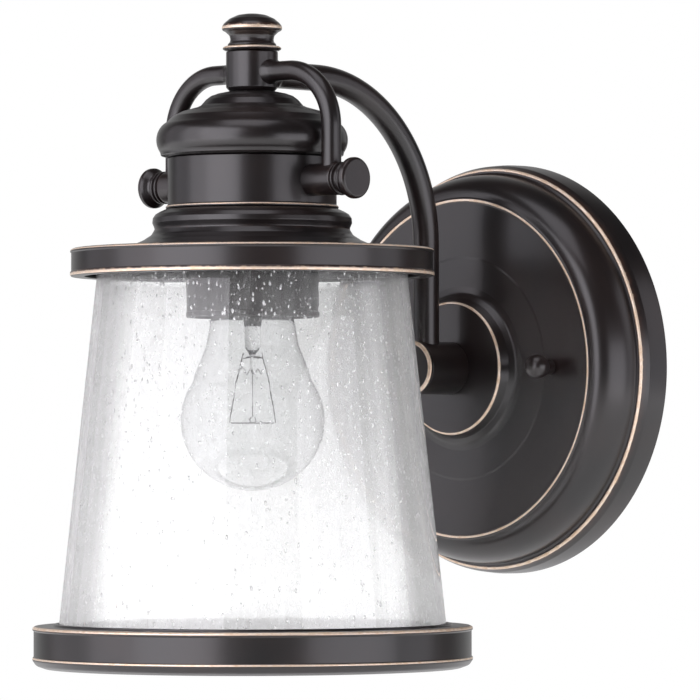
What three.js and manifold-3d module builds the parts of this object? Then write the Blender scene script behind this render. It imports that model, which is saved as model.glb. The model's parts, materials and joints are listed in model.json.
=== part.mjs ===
// Outdoor wall lantern: one arm, open-bottomed seeded glass shade, antique bronze metalwork.
// Millimetres. Origin: centre of the wall plane behind the backplate.
// +Z up, +X to the right seen from the room, the lantern stands out from the wall towards -Y.

import * as THREE from 'three';
import { mergeVertices } from 'three/addons/utils/BufferGeometryUtils.js';
import Module from 'manifold-3d';

const wasm = await Module();
wasm.setup();

// ---------------------------------------------------------------- driving sizes

const GAP = 0.3;              // clearance between touching pieces
const THREAD_GAP = 0.4;       // clearance round pieces that turn on a thread
const SHEET = 1.2;            // thickness of the spun metal
const LAMP_Y = -161.2;        // the lantern's vertical axis stands this far from the wall
const LARGE = 32;             // facets round a large turned piece
const MEDIUM = 16;
const SMALL = 10;

// backplate, as radius and depth in front of the wall
const PLATE_R = 89.3;
const PLATE_EDGE_R = 87.0;
const PLATE_EDGE_DEPTH = 14.8;
const FACE_R = 73.4;
const FACE_DEPTH = 33.3;
const BOSS_R = 28.6;
const BOSS_DEPTH = 40.0;
const NUT_X = 52;             // ball nuts and their studs
const STUD_R = 2.0;
const BALL_R = 5.2;
const BAR_DEPTH = 2.4;        // crossbar thickness
const BAR_WIDTH = 19;
const BAR_LENGTH = 120;
const GROUND_X = 18;          // ground screw on the crossbar

// stem that stands out of the backplate, and the arm that rises from it
const STEM_R = 11.4;
const STEM_FRONT = 65.0;
const STEM_CAP = 2.2;
const STEM_BORE_R = 5.4;
const ARM_R = 5.6;
const ARM_BORE_R = 3.6;
const ARM_Y = -55;            // upright run of the main arm
const ARM_BEND_R = 68;
const ARM_Z = 121.6;          // level at which all three arms leave the hub

// hub, finial and yoke
const HUB_R = 10.8;
const HUB_Z = [114, 130.6];
const ARM_SEAT = 4.6;         // how deep an arm sits in the hub
const YOKE_R = 4.1;
const YOKE_X = 45.8;
const YOKE_BEND_R = 24;
const SIDE_BOSS_R = 6.7;
const SIDE_Z = 75.7;          // level of the side bosses and thumb screws
const SIDE_BOSS_END = 50.4;
const KNOB_R = 8.5;
const KNOB_FACE_X = 60.6;
const THUMB_SHANK_R = 2.2;

// crown, band and shade cap, as radius and height
const CROWN_R = 39.9;
const BAND_R = 35.2;
const BAND_Z = [65, 86];
const CAP_WEB_Z = 64.6;       // closed top of the shade cap
const RIM_R = 75.8;
const RIM_TOP_Z = 48.4;
const RIM_FOOT_Z = 36.8;
const NIPPLE_R = 4.8;
const NIPPLE_BORE_R = 3.3;

// glass shade and the ring round its foot
const GLASS_TOP_Z = 45.6;
const GLASS_TOP_R = 63.7;
const GLASS_FOOT_Z = -121.4;
const GLASS_FOOT_R = 81.9;
const GLASS_WALL = 3.0;
const GLASS_HOLE_R = 21.5;
const RING_R = 91.5;
const RING_Z = [-125.7, -108.2];
const RING_WALL = 1.6;

// lampholder, its cup and the bulb
const HOLDER_R = 18.4;
const HOLDER_Z = [28.4, 59.4];
const CUP_R = 27.8;
const CUP_Z = [19.6, 40.8];
const BULB_R = 30;
const BULB_CENTRE_Z = -23.2;
const BULB_NECK_R = 17.4;
const BULB_NECK_Z = 19.5;
const SCREW_R = 13.1;         // medium screw base
const BULB_TIP_Z = 56;

// ---------------------------------------------------------------- materials

const finish = (color, roughness, metalness, extra = {}) =>
  new THREE.MeshStandardMaterial({ color, roughness, metalness, ...extra });

const BRONZE = finish(0x2a2626, 0.42, 0.75);
const STEEL = finish(0xa9aaa8, 0.45, 0.9);
const BRASS = finish(0xb8944f, 0.4, 0.9);
const PHENOLIC = finish(0x141313, 0.5, 0);
const FOAM = finish(0x222222, 0.95, 0);
const SILICONE = finish(0xd8d8d4, 0.6, 0);
const GREEN_ZINC = finish(0x2f7a45, 0.45, 0.6);
const SEEDED_GLASS = finish(0xeef2f1, 0.05, 0, { transparent: true, opacity: 0.3 });
const BULB_GLASS = finish(0xf4f6f6, 0.03, 0, { transparent: true, opacity: 0.25 });
const ALUMINIUM = finish(0xc4c6c8, 0.35, 0.95);
const TUNGSTEN = finish(0x6b6a6a, 0.5, 0.9);
const BLACK_GLASS = finish(0x1b1b20, 0.2, 0);

// ---------------------------------------------------------------- shape helpers

const lantern = new THREE.Group();

function add(name, geometry, material) {
  const mesh = new THREE.Mesh(geometry, material.clone());
  mesh.name = name;
  lantern.add(mesh);
}

// A closed outline in (radius, height), turned round the Z axis.
function turned(outline, facets) {
  const points = outline.map(([r, h]) => new THREE.Vector2(Math.max(r, 0), h));
  if (outline[0][0] > 0 || outline.at(-1)[0] > 0) points.push(points[0].clone());
  if (THREE.ShapeUtils.area(points) < 0) points.reverse();
  return new THREE.LatheGeometry(points, facets).rotateX(Math.PI / 2);
}

// Turned pieces laid on the three directions that the lantern uses.
const upright = (outline, facets) => turned(outline, facets).translate(0, LAMP_Y, 0);
const outward = (outline, facets, x = 0) => turned(outline, facets).rotateX(Math.PI / 2).translate(x, 0, 0);
const sideways = (outline, facets, side) =>
  turned(outline, facets).rotateY(side * Math.PI / 2).translate(0, LAMP_Y, SIDE_Z);

// A thin wall: the outer outline, and the same outline moved inwards by the wall's thickness.
function walled(outer, wall) {
  const normals = outer.slice(1).map(([r, h], i) => {
    const [pr, ph] = outer[i];
    const length = Math.hypot(r - pr, h - ph);
    return [-(h - ph) / length, (r - pr) / length];
  });
  const inner = outer.map(([r, h], i) => {
    const before = normals[Math.max(i - 1, 0)];
    const after = normals[Math.min(i, normals.length - 1)];
    const sum = [before[0] + after[0], before[1] + after[1]];
    const scale = (2 * wall) / (sum[0] ** 2 + sum[1] ** 2);
    return [r + sum[0] * scale, h + sum[1] * scale];
  });
  return [...outer, ...inner.reverse()];
}

// Points on an elliptical arc, angles in degrees.
function arc(centreR, centreH, radiusR, radiusH, from, to, steps) {
  return Array.from({ length: steps + 1 }, (_, i) => {
    const angle = THREE.MathUtils.degToRad(from + ((to - from) * i) / steps);
    return [centreR + radiusR * Math.cos(angle), centreH + radiusH * Math.sin(angle)];
  });
}

const sleeve = (inner, outer, low, high) => [[inner, low], [outer, low], [outer, high], [inner, high]];
const rod = (radius, low, high) => [[0, low], [radius, low], [radius, high], [0, high]];

// A round bar or tube along a curve in an upright plane.
function along(curve, radius, bore, steps, sides = SMALL) {
  const section = new THREE.Shape().absarc(0, 0, radius, 0, 2 * Math.PI);
  if (bore > 0) section.holes.push(new THREE.Path().absarc(0, 0, bore, 0, 2 * Math.PI, true));
  const options = { steps, curveSegments: sides / 2, bevelEnabled: false, extrudePath: curve };
  return new THREE.ExtrudeGeometry(section, options);
}

// A run, a quarter bend and a second run, from start to end; corner is where the two runs would meet.
function bentRun(start, corner, end, bend) {
  const inDir = corner.clone().sub(start).normalize();
  const outDir = end.clone().sub(corner).normalize();
  const bendStart = corner.clone().addScaledVector(inDir, -bend);
  const centre = bendStart.clone().addScaledVector(outDir, bend);
  const quarter = 9;
  const points = [start];
  for (let i = 0; i <= quarter; i++) {
    const angle = (i / quarter) * (Math.PI / 2);
    points.push(centre.clone()
      .addScaledVector(outDir, -bend * Math.cos(angle))
      .addScaledVector(inDir, bend * Math.sin(angle)));
  }
  points.push(end);
  return points;
}

// Straight pieces joined into one path, so that each point gets one section of the bar.
class RunCurve extends THREE.Curve {
  constructor(points) {
    super();
    this.points = points;
  }
  getPoint(t, target = new THREE.Vector3()) {
    const place = t * (this.points.length - 1);
    const i = Math.min(Math.floor(place), this.points.length - 2);
    return target.lerpVectors(this.points[i], this.points[i + 1], place - i);
  }
  getPointAt(u, target) {
    return this.getPoint(u, target);
  }
  getTangentAt(u, target = new THREE.Vector3()) {
    const i = Math.round(u * (this.points.length - 1));
    const before = this.points[Math.max(i - 1, 0)];
    const after = this.points[Math.min(i + 1, this.points.length - 1)];
    return target.subVectors(after, before).normalize();
  }
}

function solid(geometry) {
  const bare = geometry.clone();
  bare.deleteAttribute('normal');
  bare.deleteAttribute('uv');
  const merged = mergeVertices(bare, 1e-3);
  const corners = merged.index.array;
  const kept = [];
  for (let i = 0; i < corners.length; i += 3) {
    const [a, b, c] = [corners[i], corners[i + 1], corners[i + 2]];
    if (a !== b && b !== c && c !== a) kept.push(a, b, c);
  }
  return new wasm.Manifold(new wasm.Mesh({
    numProp: 3,
    vertProperties: new Float32Array(merged.attributes.position.array),
    triVerts: new Uint32Array(kept),
  }));
}

function geometryOf(manifold) {
  const mesh = manifold.getMesh();
  const geometry = new THREE.BufferGeometry();
  geometry.setAttribute('position', new THREE.BufferAttribute(mesh.vertProperties, 3));
  geometry.setIndex(new THREE.BufferAttribute(mesh.triVerts, 1));
  return geometry;
}

const cut = (body, ...tools) =>
  geometryOf(tools.reduce((result, tool) => result.subtract(solid(tool)), solid(body)));

// A hexagon nut across its flats, with its bore, from low to high on the Z axis.
function hexNut(flats, bore, low, high) {
  const hexagon = new THREE.Shape();
  for (let i = 0; i < 6; i++) {
    const angle = (i * Math.PI) / 3;
    const reach = flats / Math.sqrt(3);
    const point = [reach * Math.cos(angle), reach * Math.sin(angle)];
    if (i === 0) hexagon.moveTo(...point);
    else hexagon.lineTo(...point);
  }
  hexagon.closePath();
  if (bore > 0) hexagon.holes.push(new THREE.Path().absarc(0, 0, bore, 0, 2 * Math.PI, true));
  const options = { depth: high - low, curveSegments: SMALL / 2, bevelEnabled: false };
  return new THREE.ExtrudeGeometry(hexagon, options).translate(0, 0, low);
}

const SIDES = [['left', -1], ['right', 1]];

// ---------------------------------------------------------------- backplate and what holds it to the wall

// Outline of the backplate's front as radius and depth, from the rim to the boss's flat front.
function plateOutline() {
  const coveDepth = PLATE_EDGE_DEPTH + 2;
  const bulge = arc(FACE_R + 0.6, coveDepth, PLATE_EDGE_R - FACE_R - 3, FACE_DEPTH - 1 - coveDepth, 0, 90, 4);
  return [
    [PLATE_R, 0.2],
    [PLATE_R - 0.3, PLATE_EDGE_DEPTH * 0.55],
    [PLATE_EDGE_R, PLATE_EDGE_DEPTH],
    [PLATE_EDGE_R - 1.9, PLATE_EDGE_DEPTH + 0.5],
    ...bulge,
    [FACE_R - 1, FACE_DEPTH],
    [48.5, FACE_DEPTH - 0.7],
    [35, FACE_DEPTH - 0.4],
    [30.6, FACE_DEPTH + 1.6],
    [BOSS_R + 0.2, BOSS_DEPTH - 1],
    [BOSS_R - 0.6, BOSS_DEPTH],
  ];
}

function backplate() {
  const nippleHole = 6.8;
  const shell = outward([
    ...plateOutline(),
    [nippleHole, BOSS_DEPTH],
    [nippleHole, BOSS_DEPTH - SHEET],
    [BOSS_R - 1.4, BOSS_DEPTH - SHEET],
    [30.4, FACE_DEPTH - 1.6],
    [FACE_R - 1, FACE_DEPTH - 2],
    [78.6, 29.4],
    [82.6, 22],
    [83.6, PLATE_EDGE_DEPTH],
    [PLATE_EDGE_R - 1.4, PLATE_EDGE_DEPTH - 1.2],
    [PLATE_R - SHEET, 7],
    [PLATE_R - SHEET, 0.2],
  ], LARGE);
  const holes = SIDES.map(([, side]) =>
    outward(rod(STUD_R + THREAD_GAP, FACE_DEPTH - 6, FACE_DEPTH + 4), SMALL, side * NUT_X));
  add('backplate', cut(shell, ...holes), BRONZE);
}

function crossbar() {
  const bar = new THREE.Shape();
  const end = BAR_WIDTH / 2;
  const reach = BAR_LENGTH / 2 - end;
  bar.absarc(reach, 0, end, -Math.PI / 2, Math.PI / 2);
  bar.absarc(-reach, 0, end, Math.PI / 2, (3 * Math.PI) / 2);
  const slotEnd = 2.6;
  const hole = (x, half) => {
    const slot = new THREE.Path();
    slot.absarc(x - half, 0, slotEnd, Math.PI * 1.5, Math.PI / 2, true);
    slot.absarc(x + half, 0, slotEnd, Math.PI / 2, -Math.PI / 2, true);
    return slot;
  };
  const groundHole = new THREE.Path().absarc(GROUND_X, 0, STUD_R + GAP, 0, 2 * Math.PI, true);
  const studHoles = SIDES.map(([, side]) =>
    new THREE.Path().absarc(side * NUT_X, 0, STUD_R + GAP, 0, 2 * Math.PI, true));
  bar.holes.push(hole(-38, 5), hole(38, 5), groundHole, ...studHoles);
  const strap = new THREE.ExtrudeGeometry(bar, { depth: BAR_DEPTH, curveSegments: 6, bevelEnabled: false });
  add('crossbar', strap.rotateX(Math.PI / 2), STEEL);
}

function wallFixings() {
  add('wall_gasket', outward(sleeve(PLATE_R - 6, PLATE_R - SHEET - GAP - 0.4, 0, 3), LARGE), FOAM);
  const studTip = FACE_DEPTH + 5.4;
  for (const [name, side] of SIDES) {
    add(`mounting_stud_${name}`, outward(rod(STUD_R, GAP, studTip), SMALL, side * NUT_X), STEEL);
    const nut = hexNut(8, STUD_R + GAP, BAR_DEPTH + GAP, BAR_DEPTH + GAP + 3);
    add(`stud_nut_${name}`, nut.rotateX(Math.PI / 2).translate(side * NUT_X, 0, 0), STEEL);
  }
  const head = hexNut(7, 0, BAR_DEPTH + GAP, BAR_DEPTH + GAP + 2.6);
  const shank = turned(rod(STUD_R, GAP, BAR_DEPTH + 1), SMALL);
  const screw = geometryOf(solid(head).add(solid(shank)));
  add('ground_screw', screw.rotateX(Math.PI / 2).translate(GROUND_X, 0, 0), GREEN_ZINC);
}

// A ball nut: domed end, neck and foot, with a blind bore for its stud.
function ballNuts() {
  const foot = FACE_DEPTH + GAP;
  const centre = FACE_DEPTH + 8.2;
  const neckR = 3.4;
  const outline = [
    [STUD_R + THREAD_GAP, foot],
    [neckR + 1.0, foot],
    [neckR + 1.0, foot + 1],
    [neckR, foot + 1.8],
    ...arc(0, centre, BALL_R, BALL_R, -49, 90, 9),
    [0, FACE_DEPTH + 6],
    [STUD_R + THREAD_GAP, FACE_DEPTH + 6],
  ];
  for (const [name, side] of SIDES) add(`ball_nut_${name}`, outward(outline, SMALL, side * NUT_X), BRONZE);
}

// ---------------------------------------------------------------- stem and main arm

function stem() {
  const back = BOSS_DEPTH + GAP;
  const spigot = 6;
  const tube = outward(sleeve(STEM_BORE_R, STEM_R, back, STEM_FRONT - STEM_CAP), MEDIUM);
  const seat = turned(rod(ARM_R + GAP, STEM_BORE_R + 1, STEM_R + 2), SMALL).translate(0, ARM_Y, 0);
  const wireWay = turned(rod(ARM_BORE_R, 0, STEM_R), SMALL).translate(0, ARM_Y, 0);
  add('stem', cut(tube, seat, wireWay), BRONZE);

  const front = STEM_FRONT - STEM_CAP + GAP;
  add('stem_cap', outward([
    [0, front - spigot], [STEM_BORE_R - GAP, front - spigot], [STEM_BORE_R - GAP, front],
    [STEM_R - 0.2, front], [STEM_R + 0.2, front + 0.6], [STEM_R + 0.2, STEM_FRONT - 0.4],
    [STEM_R - 0.4, STEM_FRONT], [0, STEM_FRONT],
  ], MEDIUM), BRONZE);

  const nippleBack = BOSS_DEPTH - 14;
  const nippleFront = BOSS_DEPTH + 7;
  const nipple = sleeve(NIPPLE_BORE_R, STEM_BORE_R - GAP, nippleBack, nippleFront);
  add('stem_nipple', outward(nipple, SMALL), STEEL);
  const nutFront = BOSS_DEPTH - SHEET - GAP;
  const nut = hexNut(17, STEM_BORE_R + 0.1, nutFront - 3.4, nutFront);
  add('stem_nut', nut.rotateX(Math.PI / 2), STEEL);
}

function mainArm() {
  const hubEnd = LAMP_Y + HUB_R - ARM_SEAT;
  const run = bentRun(
    new THREE.Vector3(0, hubEnd, ARM_Z),
    new THREE.Vector3(0, ARM_Y, ARM_Z),
    new THREE.Vector3(0, ARM_Y, STEM_BORE_R + 1 + GAP),
    ARM_BEND_R,
  );
  add('main_arm', along(new RunCurve(run), ARM_R, ARM_BORE_R, run.length - 1, 12), BRONZE);
}

// ---------------------------------------------------------------- hub, finial and yoke

function hub() {
  const [low, high] = HUB_Z;
  const chamber = 127.4;
  const body = upright([
    [NIPPLE_R + GAP, low], [HUB_R - 0.8, low], [HUB_R, low + 1], [HUB_R, high],
    [STUD_R + 1 + THREAD_GAP, high], [STUD_R + 1 + THREAD_GAP, chamber], [NIPPLE_R + GAP, chamber],
  ], MEDIUM);
  const seatDepth = HUB_R - ARM_SEAT - GAP;
  const rearSeat = outward(rod(ARM_R + GAP, -(LAMP_Y + HUB_R + 2), -(LAMP_Y + seatDepth)), SMALL)
    .translate(0, 0, ARM_Z);
  const wireWay = outward(rod(ARM_BORE_R, -(LAMP_Y + HUB_R), -LAMP_Y), SMALL).translate(0, 0, ARM_Z);
  const sideSeats = SIDES.map(([, side]) =>
    sideways(rod(YOKE_R + GAP, seatDepth, HUB_R + 2), SMALL, side).translate(0, 0, ARM_Z - SIDE_Z));
  add('hub', cut(body, rearSeat, wireWay, ...sideSeats), BRONZE);
}

function finial() {
  const washerLow = HUB_Z[1] + GAP;
  const washerHigh = washerLow + 1.8;
  add('finial_washer', upright([
    [STUD_R + 1 + THREAD_GAP, washerLow], [HUB_R + 0.6, washerLow], [12.2, washerLow + 0.5],
    [12.2, washerHigh - 0.6], [11.4, washerHigh], [STUD_R + 1 + THREAD_GAP, washerHigh],
  ], MEDIUM), BRONZE);
  const foot = washerHigh + GAP;
  add('finial', upright([
    [0, HUB_Z[1] - 3], [STUD_R + 1, HUB_Z[1] - 3], [STUD_R + 1, foot],
    [10.2, foot], [9.2, 134.4], [9.1, 136.2], [10.0, 137.8], [12.2, 139.4], [12.6, 140.2],
    [12.2, 141.4], [9.8, 143.7], [6, 145.6], [2.6, 146.3], [0, 146.4],
  ], MEDIUM), BRONZE);
}

function yoke() {
  const bossTop = SIDE_Z + SIDE_BOSS_R;
  for (const [name, side] of SIDES) {
    const run = bentRun(
      new THREE.Vector3(side * (HUB_R - ARM_SEAT), LAMP_Y, ARM_Z),
      new THREE.Vector3(side * YOKE_X, LAMP_Y, ARM_Z),
      new THREE.Vector3(side * YOKE_X, LAMP_Y, bossTop - 1.6),
      YOKE_BEND_R,
    );
    add(`yoke_arm_${name}`, along(new RunCurve(run), YOKE_R, 0, run.length - 1, 12), BRONZE);

    const boss = sideways([
      [THUMB_SHANK_R + THREAD_GAP, BAND_R + GAP], [SIDE_BOSS_R, BAND_R + GAP],
      [SIDE_BOSS_R, SIDE_BOSS_END], [THUMB_SHANK_R + THREAD_GAP, SIDE_BOSS_END],
    ], MEDIUM, side);
    const armSeat = upright(rod(YOKE_R + GAP, bossTop - 1.6 - GAP, bossTop + 2), SMALL)
      .translate(side * YOKE_X, 0, 0);
    const bandFit = upright(rod(BAND_R + GAP, SIDE_Z - 12, SIDE_Z + 12), LARGE);
    add(`side_boss_${name}`, cut(boss, armSeat, bandFit), BRONZE);
  }
}

function thumbScrews() {
  const outline = [
    [0, BAND_R - 9], [THUMB_SHANK_R, BAND_R - 9], [THUMB_SHANK_R, SIDE_BOSS_END + THREAD_GAP],
    [6.3, SIDE_BOSS_END + THREAD_GAP], [6.7, SIDE_BOSS_END + 1.2], [6.3, SIDE_BOSS_END + 2],
    [5.6, SIDE_BOSS_END + 2.6], [6.4, SIDE_BOSS_END + 3.4], [6.4, SIDE_BOSS_END + 4.4],
    [7.4, SIDE_BOSS_END + 6], [KNOB_R, KNOB_FACE_X - 3], [KNOB_R, KNOB_FACE_X - 0.8],
    [KNOB_R - 0.8, KNOB_FACE_X], [0, KNOB_FACE_X],
  ];
  for (const [name, side] of SIDES) {
    add(`thumb_screw_${name}`, sideways(outline, MEDIUM, side), BRONZE);
    const nutOuter = BAND_R - SHEET - 1.6;
    const nut = hexNut(11, THUMB_SHANK_R + THREAD_GAP, nutOuter - 4, nutOuter);
    const placed = nut.rotateY(side * Math.PI / 2).translate(0, LAMP_Y, SIDE_Z);
    add(`insert_nut_${name}`, placed, STEEL);
  }
}

// ---------------------------------------------------------------- crown, band and shade cap

function crown() {
  const top = HUB_Z[0] - GAP;
  const [, bandTop] = BAND_Z;
  const foot = bandTop + GAP;
  const outer = [
    [BAND_R, foot],
    [38.2, 87.4],
    ...arc(CROWN_R - 7.5, 93.6, 7.5, 8.2, -35, 62, 5),
    [29, 105.4],
    [22.4, 107.3],
    [19.2, 110],
    [14.4, 112.6],
    [10.6, top],
  ];
  add('crown', upright([
    ...outer, [NIPPLE_R + GAP, top], [NIPPLE_R + GAP, top - SHEET],
    [10.4, top - SHEET], [18.4, 108.7], [21.8, 106], [28.6, 104],
    ...arc(CROWN_R - 7.5, 93.6, 7.5 - SHEET, 8.2 - SHEET, 60, -30, 3),
    [BAND_R - 0.3, foot + SHEET],
    [BAND_R - 4, foot + SHEET], [BAND_R - 4, foot],
  ], LARGE), BRONZE);
  const nut = hexNut(14, NIPPLE_R + GAP, top - SHEET - GAP - 3.4, top - SHEET - GAP);
  add('crown_nut', nut.translate(0, LAMP_Y, 0), STEEL);
}

function band() {
  const [low, high] = BAND_Z;
  const wall = upright([
    [BAND_R - SHEET, low + SHEET], [BAND_R - 4, low + SHEET], [BAND_R - 4, low], [BAND_R + 0.8, low],
    [BAND_R + 0.8, low + 0.8], [BAND_R, low + 1.4], [BAND_R, high], [BAND_R - SHEET, high],
  ], LARGE);
  const shankWay = rod(THUMB_SHANK_R + THREAD_GAP, BAND_R - 6, BAND_R + 6);
  const holes = SIDES.map(([, side]) => sideways(shankWay, SMALL, side));
  add('band', cut(wall, ...holes), BRONZE);
}

// The spun cap over the glass: closed top, bead, neck, flare, flat shoulder and skirt.
function shadeCap() {
  const web = CAP_WEB_Z;
  const outer = [
    [RIM_R - 0.3, RIM_FOOT_Z],
    [RIM_R, RIM_FOOT_Z + 1.6],
    [RIM_R - 0.2, RIM_TOP_Z - 1.4],
    [RIM_R - 1.4, RIM_TOP_Z],
    [58, RIM_TOP_Z + 0.3],
    [50.2, RIM_TOP_Z + 1.3],
    [45.4, 51.8],
    [42, 54],
    [40.6, 56.4],
    [40.8, 57.6],
    [41.5, 59.8],
    [40.6, 62],
    [38.4, 63.8],
    [36.4, web],
  ];
  add('shade_cap', upright([
    ...outer, [NIPPLE_R + GAP, web], [NIPPLE_R + GAP, web - SHEET],
    [36, web - SHEET], [40.1, 60.6], [39.4, 55.6],
    [41.2, 52.9], [50, RIM_TOP_Z + 0.1], [58, RIM_TOP_Z - 0.9],
    [RIM_R - 1.6, RIM_TOP_Z - SHEET],
    [RIM_R - 1.4, RIM_FOOT_Z + 1.4], [RIM_R - 6, RIM_FOOT_Z + 1.2], [RIM_R - 6, RIM_FOOT_Z],
  ], LARGE), BRONZE);
  const nut = hexNut(14, NIPPLE_R + GAP, web - SHEET - GAP - 3.2, web - SHEET - GAP);
  add('cap_nut', nut.translate(0, LAMP_Y, 0), STEEL);
}

function centreNipple() {
  add('centre_nipple', upright(sleeve(NIPPLE_BORE_R, NIPPLE_R, HOLDER_Z[1] - 2, 117.5), SMALL), STEEL);
}

// ---------------------------------------------------------------- glass shade and its ring

function glassShade() {
  const slope = (GLASS_FOOT_R - GLASS_TOP_R) / (GLASS_TOP_Z - GLASS_FOOT_Z);
  const coneR = (z) => GLASS_TOP_R + slope * (GLASS_TOP_Z - z);
  const shoulder = 3;
  add('glass_shade', upright([
    [GLASS_HOLE_R, GLASS_TOP_Z - GLASS_WALL],
    [coneR(GLASS_TOP_Z) - GLASS_WALL - 1, GLASS_TOP_Z - GLASS_WALL],
    [coneR(GLASS_TOP_Z - shoulder) - GLASS_WALL, GLASS_TOP_Z - GLASS_WALL - 1],
    [coneR(GLASS_FOOT_Z) - GLASS_WALL, GLASS_FOOT_Z],
    [coneR(GLASS_FOOT_Z), GLASS_FOOT_Z],
    [coneR(GLASS_TOP_Z - shoulder), GLASS_TOP_Z - shoulder],
    ...arc(coneR(GLASS_TOP_Z) - shoulder, GLASS_TOP_Z - shoulder, shoulder, shoulder, 30, 90, 2),
    [GLASS_HOLE_R, GLASS_TOP_Z],
  ], LARGE), SEEDED_GLASS);

  const washer = sleeve(GLASS_HOLE_R + 1, 38, GLASS_TOP_Z + GAP, GLASS_TOP_Z + 2);
  add('glass_gasket', upright(washer, MEDIUM), FOAM);
  const underside = GLASS_TOP_Z - GLASS_WALL - GAP;
  add('cup_gasket', upright(sleeve(GLASS_HOLE_R, CUP_R - 0.8, CUP_Z[1] + GAP, underside), MEDIUM), FOAM);
}

function bottomRing() {
  const [low, high] = RING_Z;
  const seatR = GLASS_FOOT_R - 2.6;
  const lip = 1;
  const glassAtTop = 80.6;
  const floor = GLASS_FOOT_Z - GAP - 1.2;
  add('bottom_ring', upright([
    [seatR - 3, low + 0.6], [seatR - 2.4, low], [RING_R - 4, low],
    [RING_R - 1.2, low + 1.2], [RING_R, low + 4],
    [RING_R - 0.4, low + 4.6], [RING_R - 0.4, high - 1.6],
    [RING_R, high - 1.2], [RING_R - 1.1, high],
    [glassAtTop + GAP + 1.8, high], [glassAtTop + GAP + 1.8, high + lip], [glassAtTop + GAP, high + lip],
    [glassAtTop + GAP, high - RING_WALL], [RING_R - RING_WALL, high - RING_WALL - 1],
    [RING_R - RING_WALL, low + 4.4], [RING_R - 5, low + RING_WALL],
    [GLASS_FOOT_R + 1.4, low + RING_WALL], [GLASS_FOOT_R + 1.4, floor - GAP],
    [seatR - 3, floor - GAP],
  ], LARGE), BRONZE);
  const bed = sleeve(GLASS_FOOT_R - GLASS_WALL - 1, GLASS_FOOT_R + 0.9, floor, GLASS_FOOT_Z - GAP);
  add('ring_seal', upright(bed, LARGE), SILICONE);
}

// ---------------------------------------------------------------- lampholder, cup and bulb

function lampholder() {
  const [low, high] = HOLDER_Z;
  const roof = high - 2.2;
  add('lampholder', upright([
    [SCREW_R + 1.6, low], [HOLDER_R, low], [HOLDER_R, high - 1.5], [HOLDER_R - 1.5, high],
    [NIPPLE_R + GAP, high], [NIPPLE_R + GAP, roof], [SCREW_R + 1.6, roof],
  ], MEDIUM), PHENOLIC);
  add('screw_shell', upright(sleeve(SCREW_R + 0.6, SCREW_R + 1.2, low + 2, roof - 1.5), MEDIUM), BRASS);
  const contactLow = BULB_TIP_Z + GAP;
  add('centre_contact', upright(rod(4, contactLow, roof - GAP), SMALL), BRASS);
}

function socketCup() {
  const [low, high] = CUP_Z;
  const hole = HOLDER_R + 1.6 * THREAD_GAP;
  add('socket_cup', upright([
    [CUP_R - 1.4, low], [CUP_R - 0.4, low], [CUP_R, low + 0.7], [CUP_R, high - 1.4], [CUP_R - 1.4, high],
    [hole, high], [hole, high - 9], [hole + 1.4, high - 9], [hole + 1.4, high - 1.5],
    [CUP_R - 1.5, high - 1.5],
  ], MEDIUM), BRONZE);
}

// Envelope, open at its neck where the base closes it, and the base with its insulator and tip.
function bulb() {
  const baseLow = 31.5;
  const wall = 0.6;
  const outer = [
    ...arc(0, BULB_CENTRE_Z, BULB_R, BULB_R - 0.8, -90, 30, 9),
    [21.6, 2.4], [18.6, 11], [BULB_NECK_R, BULB_NECK_Z],
    [14.6, 26.6], [SCREW_R - 1.1, baseLow - 0.6], [SCREW_R - 1.1, baseLow + 4],
  ];
  const inner = walled(outer, wall).slice(outer.length);
  add('bulb_glass', upright([...outer, ...inner], MEDIUM), BULB_GLASS);

  const capTop = BULB_TIP_Z - 5;
  add('bulb_base', upright([
    [SCREW_R - 0.5, baseLow], [SCREW_R, baseLow + 0.5], [SCREW_R, capTop - 4], [9.6, capTop],
    [9, capTop - 0.2], [SCREW_R - 0.5, capTop - 4.4],
  ], MEDIUM), ALUMINIUM);
  add('bulb_insulator', upright([
    [0, capTop - 1], [8, capTop - 1], [8.4, capTop + GAP], [5, BULB_TIP_Z - 1.6], [0, BULB_TIP_Z - 1.6],
  ], SMALL), BLACK_GLASS);
  add('bulb_tip', upright([
    [0, BULB_TIP_Z - 1.6 + GAP], [4.4, BULB_TIP_Z - 1.6 + GAP], [3.6, BULB_TIP_Z - 0.4], [0, BULB_TIP_Z],
  ], SMALL), ALUMINIUM);
}

// The glass stem inside the bulb, its two lead wires and the filament that they hold.
function bulbMount() {
  const flareTop = 33;
  const press = 4;
  add('bulb_stem', upright([
    [0, press - 8], [1.2, press - 8], [1.4, press], [3.2, press + 3], [3.4, 16], [5, 24],
    [SCREW_R - 3.4, flareTop], [0, flareTop],
  ], SMALL), BULB_GLASS);
  const wireR = 0.45;
  const filamentZ = BULB_CENTRE_Z - 1;
  const spread = 9.4;
  const direction = new THREE.Vector3(1, 1, 0).normalize();
  for (const [name, side] of SIDES) {
    const top = new THREE.Vector3(0, LAMP_Y, press + 1).addScaledVector(direction, side * 4);
    const foot = new THREE.Vector3(0, LAMP_Y, filamentZ).addScaledVector(direction, side * spread);
    add(`lead_wire_${name}`, along(new RunCurve([top, foot]), wireR, 0, 1, 8), TUNGSTEN);
  }
  const ends = SIDES.map(([, side]) =>
    new THREE.Vector3(0, LAMP_Y, filamentZ).addScaledVector(direction, side * (spread - wireR - GAP)));
  add('filament', along(new RunCurve(ends), wireR, 0, 1, 8), TUNGSTEN);
}

wallFixings();
crossbar();
backplate();
ballNuts();
stem();
mainArm();
hub();
finial();
yoke();
thumbScrews();
crown();
band();
shadeCap();
centreNipple();
glassShade();
bottomRing();
lampholder();
socketCup();
bulb();
bulbMount();

export default lantern;
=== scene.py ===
"""Outdoor wall lantern: rubbed bronze metalwork, a seeded glass shade and one household bulb.

Metres, +Z up, the wall is the plane Y = 0 and the lantern stands out towards -Y.
Outlines are written in millimetres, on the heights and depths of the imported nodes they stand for.
"""

import json
import math

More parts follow.
